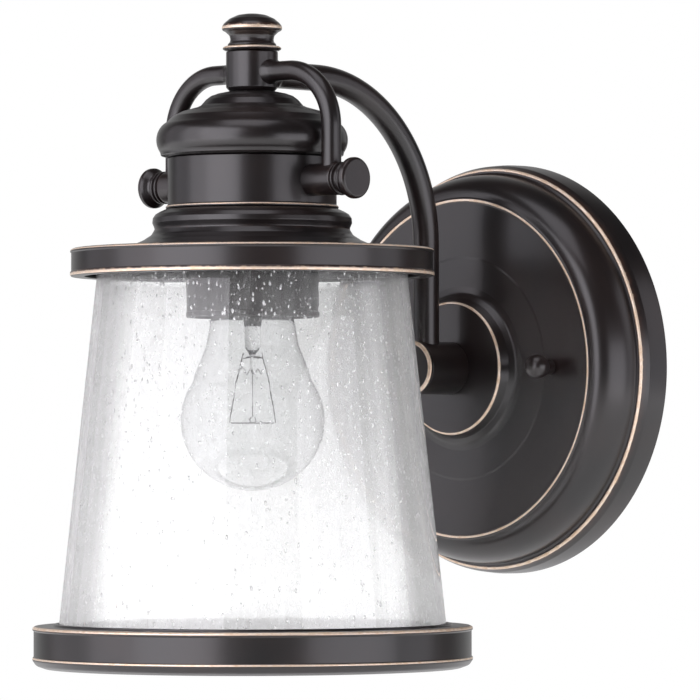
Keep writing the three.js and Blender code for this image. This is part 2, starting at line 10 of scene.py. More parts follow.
import bmesh
import bpy
from mathutils import Matrix, Vector

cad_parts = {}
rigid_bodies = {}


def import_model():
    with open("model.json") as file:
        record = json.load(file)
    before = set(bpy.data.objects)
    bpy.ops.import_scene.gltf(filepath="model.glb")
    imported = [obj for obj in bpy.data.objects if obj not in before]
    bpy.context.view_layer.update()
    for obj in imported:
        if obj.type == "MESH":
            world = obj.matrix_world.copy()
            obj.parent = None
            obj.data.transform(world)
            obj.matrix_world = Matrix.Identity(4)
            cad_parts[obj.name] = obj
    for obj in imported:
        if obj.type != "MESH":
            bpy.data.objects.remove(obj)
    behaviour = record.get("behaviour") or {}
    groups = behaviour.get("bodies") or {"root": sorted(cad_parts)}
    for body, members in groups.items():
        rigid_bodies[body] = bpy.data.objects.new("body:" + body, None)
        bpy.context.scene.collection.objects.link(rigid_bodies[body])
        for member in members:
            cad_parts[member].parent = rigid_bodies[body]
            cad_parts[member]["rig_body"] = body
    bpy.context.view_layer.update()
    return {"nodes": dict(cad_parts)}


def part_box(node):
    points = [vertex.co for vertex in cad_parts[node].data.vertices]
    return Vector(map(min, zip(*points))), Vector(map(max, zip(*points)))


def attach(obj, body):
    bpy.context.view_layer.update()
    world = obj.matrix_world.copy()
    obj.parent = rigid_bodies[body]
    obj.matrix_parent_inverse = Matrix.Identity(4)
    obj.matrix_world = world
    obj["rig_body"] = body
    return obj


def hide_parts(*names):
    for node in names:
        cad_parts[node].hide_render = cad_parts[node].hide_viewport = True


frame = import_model()

MM = 0.001
FINE = 160          # facets round a large turned piece
MIDDLE = 96
SMALL = 48
CREASE = math.radians(38)   # edges sharper than this stay crisp
FLAT_KEEPER = 0.12  # a ring this far past a rounded edge keeps the flat beside it flat
WORN_CORE = 0.55    # how far past a worn edge the bare copper reaches
WORN_FADE = 2.6     # how far past it the brown halo reaches
SIDES = (("left", -1), ("right", 1))
SCREW_PITCH = 0.8   # the studs' and the ground screw's thread
PIPE_PITCH = 1.0    # the two threaded tubes' thread
LAMP_PITCH = 3.6    # the medium lamp base's rolled thread
GROUND_SCREW_X = 18
SHADE_TOP, SHADE_FOOT = 63.7, 81.9   # the glass's outside radius at its two ends
GLASS_WALL = 3.0


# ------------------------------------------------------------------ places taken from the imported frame

def heights(node):
    """Foot and top of a node, in millimetres."""
    low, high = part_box(node)
    return low.z / MM, high.z / MM


def depths(node):
    """How far from the wall a node starts and ends, in millimetres."""
    low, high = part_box(node)
    return -high.y / MM, -low.y / MM


def reach(node):
    """How far from the lantern's axis a sideways node starts and ends, in millimetres."""
    low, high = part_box(node)
    near, far = sorted((abs(low.x), abs(high.x)))
    return near / MM, far / MM


def centre(node):
    low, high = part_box(node)
    return (low + high) / 2


LAMP_Y = centre("crown").y
ARM_Z = centre("yoke_arm_left").z
SIDE_Z = centre("thumb_screw_left").z
NUT_X = centre("ball_nut_right").x

to_metres = Matrix.Scale(MM, 4)
on_axis = Matrix.Translation((0, LAMP_Y, 0)) @ to_metres


def outward(x=0.0):
    """Lays a turned outline's height along the wall's normal."""
    return Matrix.Translation((x, 0, 0)) @ Matrix.Rotation(math.pi / 2, 4, "X") @ to_metres


def sideways(side):
    """Lays a turned outline's height along X, at the thumb screws' level."""
    return (Matrix.Translation((0, LAMP_Y, SIDE_Z))
            @ Matrix.Rotation(side * math.pi / 2, 4, "Y") @ to_metres)


# ------------------------------------------------------------------ outlines

def bow(middle, radii, start, end, steps):
    """Points along an elliptical arc, angles in degrees."""
    turns = [math.radians(start + (end - start) * i / steps) for i in range(steps + 1)]
    return [(middle[0] + radii[0] * math.cos(a), middle[1] + radii[1] * math.sin(a)) for a in turns]


def rounded(corners, closed=True, steps=5):
    """Rounds an outline's corners. A corner is (across, along, round, worn); gives (across, along, worn)."""
    dense = []
    count = len(corners)
    for i, (across, along, *extra) in enumerate(corners):
        round_size, worn = (extra + [0, 0])[:2]
        here = Vector((across, along))
        if not round_size or (not closed and i in (0, count - 1)):
            dense.append((across, along, worn))
            continue
        back = Vector(corners[i - 1][:2]) - here
        on = Vector(corners[(i + 1) % count][:2]) - here
        half = back.angle(on) / 2
        if half > math.radians(88):
            dense.append((across, along, worn))
            continue
        run = min(round_size / math.tan(half), 0.45 * min(back.length, on.length))
        size = run * math.tan(half)
        middle = here + (back.normalized() + on.normalized()).normalized() * size / math.sin(half)
        first, last = here + back.normalized() * run, here + on.normalized() * run
        margins = ((WORN_FADE, 0), (WORN_CORE, 0.5)) if worn else ((FLAT_KEEPER, 0),)
        for past, strength in margins:
            if back.length * 0.5 > run + past:
                dense.append((*(here + back.normalized() * (run + past)), worn * strength))
        sweep = (first - middle).angle(last - middle)
        turn = math.copysign(sweep, (first - middle).cross(last - middle))
        for k in range(steps + 1):
            angle = turn * k / steps
            spoke = first - middle
            dense.append((
                middle.x + spoke.x * math.cos(angle) - spoke.y * math.sin(angle),
                middle.y + spoke.x * math.sin(angle) + spoke.y * math.cos(angle),
                worn,
            ))
        for past, strength in reversed(margins):
            if on.length * 0.5 > run + past:
                dense.append((*(here + on.normalized() * (run + past)), worn * strength))
    return dense


def sleeve(bore, outside, low, high, ease=0.3):
    return [(bore, low, ease), (outside, low, ease), (outside, high, ease), (bore, high, ease)]


def rod(radius, low, high, ease=0.3):
    return [(0, low), (radius, low, ease), (radius, high, ease), (0, high)]


# ------------------------------------------------------------------ meshes

def finished(name, points, faces, place, worn=None):
    """A closed mesh with its faces outwards, its place in its own points, and soft edges."""
    mesh = bpy.data.meshes.new(name)
    mesh.from_pydata([tuple(p) for p in points], [], faces)
    mesh.transform(place)
    if worn is not None:
        mesh.attributes.new("worn", "FLOAT", "POINT").data.foreach_set("value", worn)
    shape = bmesh.new()
    shape.from_mesh(mesh)
    if shape.calc_volume(signed=True) < 0:
        bmesh.ops.reverse_faces(shape, faces=shape.faces)
    shape.to_mesh(mesh)
    shape.free()
    mesh.shade_smooth()
    mesh.set_sharp_from_angle(angle=CREASE)
    piece = bpy.data.objects.new(name, mesh)
    bpy.context.scene.collection.objects.link(piece)
    return piece


def turned(name, outline, place, facets=FINE, swell=None):
    """Spins a rounded outline round its axis. swell(turn, height) adds to the radius, in millimetres."""
    points, worn, rings = [], [], []
    turns = [2 * math.pi * i / facets for i in range(facets)]
    for across, along, rub in outline:
        start = len(points)
        if across < 1e-6:
            points.append((0, 0, along))
            worn.append(rub)
            rings.append([start] * facets)
            continue
        for a in turns:
            radius = across + (swell(a, along) if swell else 0)
            points.append((radius * math.cos(a), radius * math.sin(a), along))
        worn += [rub] * facets
        rings.append(list(range(start, start + facets)))
    faces = []
    for low, high in zip(rings, rings[1:] + rings[:1]):
        for i in range(facets):
            j = (i + 1) % facets
            corners = tuple(dict.fromkeys((low[i], low[j], high[j], high[i])))
            if len(corners) > 2:
                faces.append(corners)
    return finished(name, points, faces, place, worn)


def bent_run(start, corner, end, bend, steps=36):
    """A straight run, a quarter bend and a second straight run."""
    ahead, away = (corner - start).normalized(), (end - corner).normalized()
    middle = corner - ahead * bend + away * bend
    path = [start, start.lerp(corner - ahead * bend, 0.5)]
    for i in range(steps + 1):
        a = i / steps * math.pi / 2
        path.append(middle - away * bend * math.cos(a) + ahead * bend * math.sin(a))
    return path + [(corner + away * bend).lerp(end, 0.5), end]


def swept(name, path, radius, side_axis, facets=SMALL, root=0.0, root_at=0.0):
    """A round bar along a path in one plane. root thickens it towards the start, like a cast fillet."""
    dense = []
    for a, b in zip(path, path[1:]):
        parts = max(1, round((b - a).length / 1.5))
        dense += [a.lerp(b, k / parts) for k in range(parts)]
    dense.append(path[-1])
    points, rings, gone = [], [], 0.0
    for i, here in enumerate(dense):
        if i:
            gone += (here - dense[i - 1]).length
        along = (dense[min(i + 1, len(dense) - 1)] - dense[max(i - 1, 0)]).normalized()
        across = along.cross(side_axis).normalized()
        swell = root * max(0.0, 1 - max(0.0, gone - root_at) / 4.5) ** 2.2
        rings.append(list(range(len(points), len(points) + facets)))
        for k in range(facets):
            a = 2 * math.pi * k / facets
            points.append(here + (side_axis * math.cos(a) + across * math.sin(a)) * (radius + swell))
    faces = []
    for low, high in zip(rings, rings[1:]):
        for i in range(facets):
            j = (i + 1) % facets
            faces.append((low[i], low[j], high[j], high[i]))
    for ring in (rings[0], rings[-1]):
        faces.append(tuple(ring if ring is rings[-1] else reversed(ring)))
    return finished(name, points, faces, to_metres, [0.0] * len(points))


def hex_nut(name, flats, bore, low, high, place, facets=MIDDLE):
    """A hexagon nut or head, its corners turned down as on a real one. A bore of 0 makes a solid head."""
    face = flats / 2 * 0.96

    def corner_radius(a):
        return flats / 2 / math.cos((a + math.pi / 6) % (math.pi / 3) - math.pi / 6)

    turns = [2 * math.pi * i / facets for i in range(facets)]
    points, rings = [], []

    def ring(radius_at, height_at):
        rings.append(list(range(len(points), len(points) + facets)))
        points.extend((radius_at(a) * math.cos(a), radius_at(a) * math.sin(a), height_at(a)) for a in turns)

    drop = math.tan(math.radians(28))
    ring(lambda a: face, lambda a: low)
    ring(corner_radius, lambda a: low + (corner_radius(a) - face) * drop)
    ring(corner_radius, lambda a: high - (corner_radius(a) - face) * drop)
    ring(lambda a: face, lambda a: high)
    if bore:
        ring(lambda a: bore + 0.35, lambda a: high)
        ring(lambda a: bore, lambda a: high - 0.35)
        ring(lambda a: bore, lambda a: low + 0.35)
        ring(lambda a: bore + 0.35, lambda a: low)
    faces = []
    for first, second in zip(rings, rings[1:] + (rings[:1] if bore else [])):
        faces += [(first[i], first[(i + 1) % facets], second[(i + 1) % facets], second[i])
                  for i in range(facets)]
    if not bore:
        faces += [tuple(reversed(rings[0])), tuple(rings[-1])]
    return finished(name, points, faces, place)


def joined(name, *pieces):
    """Several meshes made one piece."""
    shape = bmesh.new()
    for piece in pieces:
        shape.from_mesh(piece.data)
        bpy.data.objects.remove(piece)
    mesh = bpy.data.meshes.new(name)
    shape.to_mesh(mesh)
    shape.free()
    mesh.shade_smooth()
    mesh.set_sharp_from_angle(angle=CREASE)
    whole = bpy.data.objects.new(name, mesh)
    bpy.context.scene.collection.objects.link(whole)
    return whole


# ------------------------------------------------------------------ node helper and colours

def plug(tree, made, inputs):
    """Fills a node's inputs: a hex colour or a number is set on the socket, a node or an output is linked."""
    for key, value in inputs.items():
        if isinstance(value, bpy.types.Node):
            value = next(output for output in value.outputs if output.enabled)
        if isinstance(value, bpy.types.NodeSocket):
            tree.links.new(value, made.inputs[key])
        elif isinstance(value, str):
            made.inputs[key].default_value = linear(value)
        else:
            made.inputs[key].default_value = value


def node(tree, kind, inputs=None, **settings):
    """Adds one node with its settings and links."""
    made = tree.nodes.new(kind)
    for key, value in settings.items():
        setattr(made, key, value)
    plug(tree, made, inputs or {})
    return made


def linear(code):
    """An sRGB hex colour as linear red, green, blue and alpha."""
    parts = [int(code[i:i + 2], 16) / 255 for i in (1, 3, 5)]
    return (*(p / 12.92 if p <= 0.04045 else ((p + 0.055) / 1.055) ** 2.4 for p in parts), 1.0)


def material(name, build):
    """A material whose Principled shader is filled by build(tree, shader, place in object space)."""
    made = bpy.data.materials.new(name)
    made.use_nodes = True
    tree = made.node_tree
    tree.nodes.clear()
    out = node(tree, "ShaderNodeOutputMaterial")
    shader = node(tree, "ShaderNodeBsdfPrincipled")
    tree.links.new(shader.outputs["BSDF"], out.inputs["Surface"])
    spot = node(tree, "ShaderNodeTexCoord").outputs["Object"]
    build(tree, shader, spot)
    return made


NOISE, RANGE, MIX, MATH, MAPPING, BUMP, VECTOR_MATH = (
    "ShaderNode" + kind for kind in ("TexNoise", "MapRange", "Mix", "Math", "Mapping", "Bump", "VectorMath"))


def grain(spot, size, detail=3.0, rough=0.5):
    """Noise inputs for a grain about size millimetres across."""
    return {"Vector": spot, "Scale": 1 / (size * MM), "Detail": detail, "Roughness": rough}


def ramp(value, low, high, to_low, to_high):
    """Inputs that carry a value from one range to another and hold it at the ends."""
    return {"Value": value, "From Min": low, "From Max": high, "To Min": to_low, "To Max": to_high}


def relief(height, depth, strength):
    """Bump inputs that raise the surface by depth millimetres where height is 1."""
    return {"Height": height, "Distance": depth * MM, "Strength": strength}


def two_tone(tree, pattern, low, high, first, second):
    """Two colours shared out by a pattern."""
    share = node(tree, RANGE, ramp(pattern, low, high, 0, 1))
    return node(tree, MIX, {0: share, 6: first, 7: second}, data_type="RGBA")


# ------------------------------------------------------------------ materials

def rubbed_bronze(tree, shader, spot):
    # Dark brown enamel sprayed on steel and wiped back along its edges: a satin near-black skin with a
    # faint orange peel, a brown halo beside each worn edge, and bare copper on the edge itself. The copper is
    # painted a pale cream white and only partly metallic: real copper with a painted highlight.
    cloud = node(tree, NOISE, grain(spot, 38, 2))
    mottle = node(tree, NOISE, grain(spot, 3.2, 4, 0.6))
    peel = node(tree, NOISE, grain(spot, 1.1, 2))
    fleck = node(tree, NOISE, grain(spot, 0.5, 2))
    worn = node(tree, "ShaderNodeAttribute", attribute_name="worn").outputs["Fac"]
    ragged = node(tree, MATH, {
        0: worn, 1: node(tree, RANGE, ramp(mottle, 0.3, 0.7, -0.12, 0.12)),
    }, operation="ADD")
    bare = node(tree, RANGE, ramp(ragged, 0.5, 0.82, 0, 1))
    halo = node(tree, RANGE, ramp(ragged, 0.12, 0.6, 0, 0.7))
    skin = two_tone(tree, cloud, 0.35, 0.65, "#0e0b0c", "#1b1312")
    skin = node(tree, MIX, {0: halo, 6: skin, 7: "#3a241b"}, data_type="RGBA")
    # Bare copper with a painted highlight: pale cream white and only seven tenths metallic, so it looks lit
    # under any lamp.
    copper_and_painted_highlight = two_tone(tree, mottle, 0.35, 0.7, "#f6e4d2", "#d8bb9e")
    satin = node(tree, RANGE, ramp(fleck, 0.3, 0.7, 0.29, 0.32))
    burnished = node(tree, RANGE, ramp(mottle, 0.3, 0.7, 0.34, 0.5))
    rough = node(tree, MIX, {"Factor": bare, 2: satin, 3: burnished})
    plug(tree, shader, {
        "Base Color": node(tree, MIX, {0: bare, 6: skin, 7: copper_and_painted_highlight}, data_type="RGBA"),
        "Metallic": node(tree, RANGE, ramp(bare, 0, 1, 0, 0.7)), "Roughness": rough, "IOR": 1.6,
        "Coat Weight": 0.2, "Coat Roughness": 0.18,
        "Normal": node(
            tree, BUMP,
            relief(
                node(tree, MATH, {
                    0: peel, 1: node(tree, MATH, {0: mottle, 1: 0.6}, operation="MULTIPLY"),
                }, operation="ADD"),
                0.004, 0.2,
            ),
        ),
    })


def zinc_plate(tree, shader, spot):
    # Bright zinc plated on stamped steel: pale blue-grey with soft clouds, fine rolling lines, a dull gloss.
    cloud = node(tree, NOISE, grain(spot, 9, 4, 0.6))
    lines = node(
        tree, NOISE, grain(node(tree, MAPPING, {"Vector": spot, "Scale": (0.06, 1, 1)}), 0.5, 3, 0.6),
    )
    base = two_tone(tree, cloud, 0.3, 0.7, "#a9abad", "#c6c5bd")
    plug(tree, shader, {
        "Base Color": base, "Metallic": 1.0,
        "Roughness": node(
            tree, RANGE, ramp(node(tree, MATH, {0: cloud, 1: lines}, operation="ADD"), 0.7, 1.3, 0.3, 0.5),
        ),
        "Normal": node(tree, BUMP, relief(lines, 0.02, 0.5)),
    })


def green_zinc(tree, shader, spot):
    # Zinc dyed green for the ground screw: a metallic green, thinner and yellower on its edges.
    cloud = node(tree, NOISE, grain(spot, 2.5, 4))
    base = two_tone(tree, cloud, 0.35, 0.65, "#1f6b38", "#4f8f4a")
    plug(tree, shader, {
        "Base Color": base, "Metallic": 0.9,
        "Roughness": node(tree, RANGE, ramp(cloud, 0.3, 0.7, 0.32, 0.5)),
        "Normal": node(tree, BUMP, relief(node(tree, NOISE, grain(spot, 0.4)), 0.02, 0.5)),
    })


def closed_cell_foam(tree, shader, spot):
    # Black neoprene foam, cut from sheet: dull, slightly dusty, with cells about half a millimetre across.
    cells = node(tree, "ShaderNodeTexVoronoi", {"Vector": spot, "Scale": 1 / (0.6 * MM)})
    dust = node(tree, NOISE, grain(spot, 12, 4))
    base = two_tone(tree, dust, 0.4, 0.7, "#17181a", "#2c2b2b")
    plug(tree, shader, {
        "Base Color": base, "Roughness": node(tree, RANGE, ramp(dust, 0.3, 0.7, 0.85, 0.96)),
        "Normal": node(tree, BUMP, relief(cells.outputs["Distance"], 0.25, 0.8)),
    })


def silicone_bead(tree, shader, spot):
    # Clear silicone, squeezed in and cured: milky, soft-edged, with fine trapped dust.
    cloud = node(tree, NOISE, grain(spot, 5, 4))
    base = two_tone(tree, cloud, 0.35, 0.65, "#cfcfca", "#e2e1db")
    plug(tree, shader, {
        "Base Color": base, "Subsurface Weight": 0.3, "Subsurface Scale": 0.004,
        "Roughness": node(tree, RANGE, ramp(cloud, 0.3, 0.7, 0.35, 0.55)),
        "Normal": node(tree, BUMP, relief(node(tree, NOISE, grain(spot, 1.8)), 0.1, 0.5)),
    })


def seeded_glass(tree, shader, spot):
    # Mouth-blown soda-lime glass with seeds: clear, a little wavy up and down where it was drawn. A painted
    # white haze stands in for light the glass catches: faint on the near wall, greyer at the shade's edges as
    # painted shade, strong where the far wall is seen from inside as painted light, cut back under the cap as
    # painted shade, and broken up by draw lines and pinpricks.
    waves = node(
        tree, NOISE, grain(node(tree, MAPPING, {"Vector": spot, "Scale": (1, 1, 0.35)}), 26, 2, 0.5),
    )
    draw = node(tree, NOISE, grain(node(tree, MAPPING, {"Vector": spot, "Scale": (1, 1, 0.07)}), 4, 3, 0.6))
    cells = node(tree, "ShaderNodeTexVoronoi", {
        "Vector": node(tree, MAPPING, {"Vector": spot, "Scale": (1, 1, 0.5)}),
        "Scale": 1 / (1.7 * MM),
    })
    pinprick = node(tree, RANGE, ramp(cells.outputs["Distance"], 0.1, 0.22, 1, 0))
    height = node(tree, MATH, {
        0: waves, 1: node(tree, MATH, {0: draw, 1: 0.6}, operation="MULTIPLY"),
    }, operation="ADD")
    plug(tree, shader, {
        "Transmission Weight": 1.0, "IOR": 1.5,
        "Base Color": two_tone(tree, draw, 0.3, 0.7, "#ffffff", "#fbfcfc"),
        "Roughness": node(tree, RANGE, ramp(pinprick, 0, 1, 0.0, 0.12)),
        "Normal": node(tree, BUMP, relief(height, 0.05, 0.5)),
    })
    from_axis = node(tree, VECTOR_MATH, {0: spot, 1: (0, LAMP_Y, 0)}, operation="SUBTRACT")
    spoke = node(tree, VECTOR_MATH, {0: from_axis, 1: (1, 1, 0)}, operation="MULTIPLY")
    facing = node(tree, "ShaderNodeTexCoord").outputs["Normal"]
    outwards = node(tree, VECTOR_MATH, {
        0: node(tree, VECTOR_MATH, {0: spoke}, operation="NORMALIZE"), 1: facing,
    }, operation="DOT_PRODUCT").outputs["Value"]
    far_wall = node(tree, RANGE, ramp(outwards, -0.1, 0.0, 1, 0))
    edge = node(tree, "ShaderNodeLayerWeight", {"Blend": 0.5}).outputs["Facing"]
    # Painted shade: the shade's edges get a thicker grey haze, standing in for the dark studio they reflect.
    rim = node(tree, RANGE, ramp(edge, 0.38, 0.5, 0, 1))
    # Near wall: a faint painted haze, thicker and greyer towards the edges as painted shade.
    near_wall_haze_and_painted_rim_grey = node(tree, MATH, {
        0: node(tree, RANGE, ramp(rim, 0, 1, 0.04, 0.3)),
        1: node(tree, RANGE, ramp(draw, 0.3, 0.7, -0.03, 0.05)),
    }, operation="ADD")
    height = node(tree, "ShaderNodeSeparateXYZ", {0: spot}).outputs["Z"]
    # Painted shade: above the cap's foot the painted far-wall light drops to an eighth, so the glass darkens
    # under the cap.
    cap_shade_fade = node(tree, RANGE, ramp(height, 33 * MM, 37 * MM, 1, 0.12))
    # Painted light: a white haze on the far wall's inside face, standing in for the light that wall catches.
    painted_far_wall_light = node(tree, MATH, {
        0: node(tree, RANGE, ramp(draw, 0.3, 0.7, 0.5, 0.62)), 1: cap_shade_fade,
    }, operation="MULTIPLY")
    # The painted haze of both walls, with pinpricks added on top.
    painted_haze_and_pinpricks = node(tree, MIX, {"Factor": far_wall, 2: near_wall_haze_and_painted_rim_grey, 3: painted_far_wall_light})
    painted_haze_and_pinpricks = node(tree, MATH, {
        0: painted_haze_and_pinpricks, 1: node(tree, MATH, {0: pinprick, 1: 0.2}, operation="MULTIPLY"),
    }, operation="ADD")
    # Painted haze colour: pale grey, turning darker grey at the shade's edges as painted shade.
    painted_haze_colour = node(tree, MIX, {0: rim, 6: "#cfcfcf", 7: "#888887"}, data_type="RGBA")
    # The painted haze is a white diffuse and translucent layer mixed over the clear glass.
    painted_scatter = node(tree, "ShaderNodeAddShader", {
        0: node(tree, "ShaderNodeBsdfDiffuse", {"Color": painted_haze_colour}),
        1: node(tree, "ShaderNodeBsdfTranslucent", {"Color": painted_haze_colour}),
    })
    mixed = node(tree, "ShaderNodeMixShader", {0: painted_haze_and_pinpricks, 1: shader.outputs[0], 2: painted_scatter})
    tree.links.new(mixed.outputs[0], tree.nodes["Material Output"].inputs["Surface"])


def trapped_air(tree, shader, spot):
    # The air inside a seed, seen from the glass: the ray leaves glass for air, so the index is below 1.
    # A fifth of each seed is painted white diffuse instead of clear air, a painted glint, so a seed is pale
    # in front of dark metal.
    dust = node(tree, NOISE, grain(spot, 0.4))
    plug(tree, shader, {
        # Painted light: only four fifths of the seed is clear; the rest is a white diffuse glint.
        "Transmission Weight": 0.8, "IOR": 0.72,
        "Base Color": node(tree, MIX, {0: dust, 6: "#ffffff", 7: "#fafafa"}, data_type="RGBA"),
        "Roughness": node(tree, RANGE, ramp(dust, 0.3, 0.7, 0.0, 0.03)),
    })


def bulb_envelope(tree, shader, spot):
    # Machine-blown bulb glass: thin, even and clear, with the slightest ripple.
    ripple = node(tree, NOISE, grain(spot, 14, 2))
    plug(tree, shader, {
        "Transmission Weight": 1.0, "IOR": 1.5,
        "Base Color": node(tree, MIX, {0: ripple, 6: "#f4f5f5", 7: "#fafafa"}, data_type="RGBA"),
        "Roughness": node(tree, RANGE, ramp(ripple, 0.3, 0.7, 0.0, 0.02)),
        "Normal": node(tree, BUMP, relief(ripple, 0.12, 0.3)),
    })


def moulded_phenolic(tree, shader, spot):
    # Black phenolic pressed in a mould: a dense dull gloss with pale filler specks.
    filler = node(tree, NOISE, grain(spot, 0.8, 3, 0.7))
    base = two_tone(tree, filler, 0.6, 0.72, "#151414", "#2b2827")
    plug(tree, shader, {
        "Base Color": base, "Roughness": node(tree, RANGE, ramp(filler, 0.3, 0.7, 0.38, 0.52)),
        "Normal": node(tree, BUMP, relief(filler, 0.03, 0.4)),
    })


def pressed_brass(tree, shader, spot):
    # Brass drawn into a shell: warm yellow with darker handling stains and fine draw lines.
    stain = node(tree, NOISE, grain(spot, 6, 4, 0.6))
    lines = node(
        tree, NOISE, grain(node(tree, MAPPING, {"Vector": spot, "Scale": (1, 1, 0.08)}), 0.4, 2, 0.5),
    )
    base = two_tone(tree, stain, 0.35, 0.7, "#d9b566", "#a27c3a")
    plug(tree, shader, {
        "Base Color": base, "Metallic": 1.0,
        "Roughness": node(tree, RANGE, ramp(stain, 0.3, 0.7, 0.25, 0.42)),
        "Normal": node(tree, BUMP, relief(lines, 0.015, 0.5)),
    })


def pressed_aluminium(tree, shader, spot):
    # Aluminium rolled into a screw cap: bright grey, scuffed along its threads.
    scuff = node(tree, NOISE, grain(spot, 1.2, 4, 0.7))
    base = two_tone(tree, scuff, 0.3, 0.7, "#c9cbcd", "#aeb0b2")
    plug(tree, shader, {
        "Base Color": base, "Metallic": 1.0,
        "Roughness": node(tree, RANGE, ramp(scuff, 0.3, 0.7, 0.24, 0.44)),
        "Normal": node(tree, BUMP, relief(scuff, 0.02, 0.4)),
    })


def fired_black_glass(tree, shader, spot):
    # Black glass fired into the base: wet-looking, with a few flow marks.
    flow = node(tree, NOISE, grain(spot, 3, 3))
    plug(tree, shader, {
        "Base Color": node(tree, MIX, {0: flow, 6: "#0d0c12", 7: "#1c1a24"}, data_type="RGBA"),
        "Roughness": node(tree, RANGE, ramp(flow, 0.3, 0.7, 0.08, 0.2)),
        "Normal": node(tree, BUMP, relief(flow, 0.1, 0.4)),
    })


def drawn_wire(tree, shader, spot):
    # Tungsten and nickel-iron wire, drawn: dark grey metal with lines along it.
    lines = node(
        tree, NOISE, grain(node(tree, MAPPING, {"Vector": spot, "Scale": (1, 1, 0.1)}), 0.3, 2, 0.5),
    )
    plug(tree, shader, {
        "Base Color": node(tree, MIX, {0: lines, 6: "#454240", 7: "#6a6765"}, data_type="RGBA"),
        "Metallic": 1.0, "Roughness": node(tree, RANGE, ramp(lines, 0.3, 0.7, 0.3, 0.45)),
        "Normal": node(tree, BUMP, relief(lines, 0.01, 0.4)),
    })


def studio_floor(tree, shader, spot):
    # Pale painted board: even white with a barely visible roller texture.
    roller = node(tree, NOISE, grain(spot, 6, 3))
    plug(tree, shader, {
        "Base Color": node(tree, MIX, {0: roller, 6: "#f1f1f0", 7: "#f6f6f5"}, data_type="RGBA"),
        "Roughness": node(tree, RANGE, ramp(roller, 0.3, 0.7, 0.7, 0.8)),
        "Normal": node(tree, BUMP, relief(roller, 0.1, 0.3)),
    })


FINISH = {
    "bronze": material("bronze_enamel_sprayed_and_rubbed", rubbed_bronze),
    "zinc_steel": material("steel_stamped_and_zinc_plated", zinc_plate),
    "green_zinc": material("steel_zinc_dyed_green", green_zinc),
    "foam": material("neoprene_foam_cut", closed_cell_foam),
    "silicone": material("silicone_cured", silicone_bead),
    "seeded_glass": material("soda_glass_with_seeds_and_painted_haze", seeded_glass),
    "bulb_glass": material("soda_glass_machine_blown", bulb_envelope),
    "phenolic": material("phenolic_moulded", moulded_phenolic),
    "brass": material("brass_drawn", pressed_brass),
    "aluminium": material("aluminium_rolled", pressed_aluminium),
    "black_glass": material("black_glass_fired", fired_black_glass),
    "tungsten": material("tungsten_wire_drawn", drawn_wire),
}
AIR = material("air_trapped_in_glass", trapped_air)


def fit(piece, slot, *nodes):
    """Gives a piece its finish, its body and the nodes that it stands for."""
    piece.data.materials.clear()
    piece.data.materials.append(FINISH[slot])
    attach(piece, frame["nodes"][nodes[0]]["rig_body"])
    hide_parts(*nodes)
    return piece


def turned_part(name, slot, outline, place, facets=FINE):
    """A turned piece that stands for the node of its name."""
    return fit(turned(name, rounded(outline), place, facets), slot, name)


# ------------------------------------------------------------------ grown pieces: seeds, threads and coil

def grown(name, tree, inputs, carrier=None):
    """Runs a node tree on a carrier mesh and gives the result as a plain mesh."""
    base = carrier or bpy.data.meshes.new(name + "_seed")
    host = bpy.data.objects.new(name, base)
    bpy.context.scene.collection.objects.link(host)
    modifier = host.modifiers.new("growth", "NODES")
    modifier.node_group = tree
    for item in tree.interface.items_tree:
        if item.in_out == "INPUT" and item.name in inputs:
            modifier[item.identifier] = inputs[item.name]
    bpy.context.view_layer.update()
    result = bpy.data.meshes.new_from_object(
        host.evaluated_get(bpy.context.evaluated_depsgraph_get()))
    host.modifiers.clear()
    bpy.data.objects.remove(host)
    result.name = name
    piece = bpy.data.objects.new(name, result)
    bpy.context.scene.collection.objects.link(piece)
    return piece


def new_tree(name, *sockets):
    """An empty Geometry Nodes tree with named inputs, given as (name, kind, default)."""
    tree = bpy.data.node_groups.new(name, "GeometryNodeTree")
    tree.interface.new_socket("Geometry", in_out="INPUT", socket_type="NodeSocketGeometry")
    tree.interface.new_socket("Geometry", in_out="OUTPUT", socket_type="NodeSocketGeometry")
    for label, kind, default in sockets:
        made = tree.interface.new_socket(label, in_out="INPUT", socket_type="NodeSocket" + kind)
        if default is not None:
            made.default_value = default
    return tree, node(tree, "NodeGroupInput"), node(tree, "NodeGroupOutput")


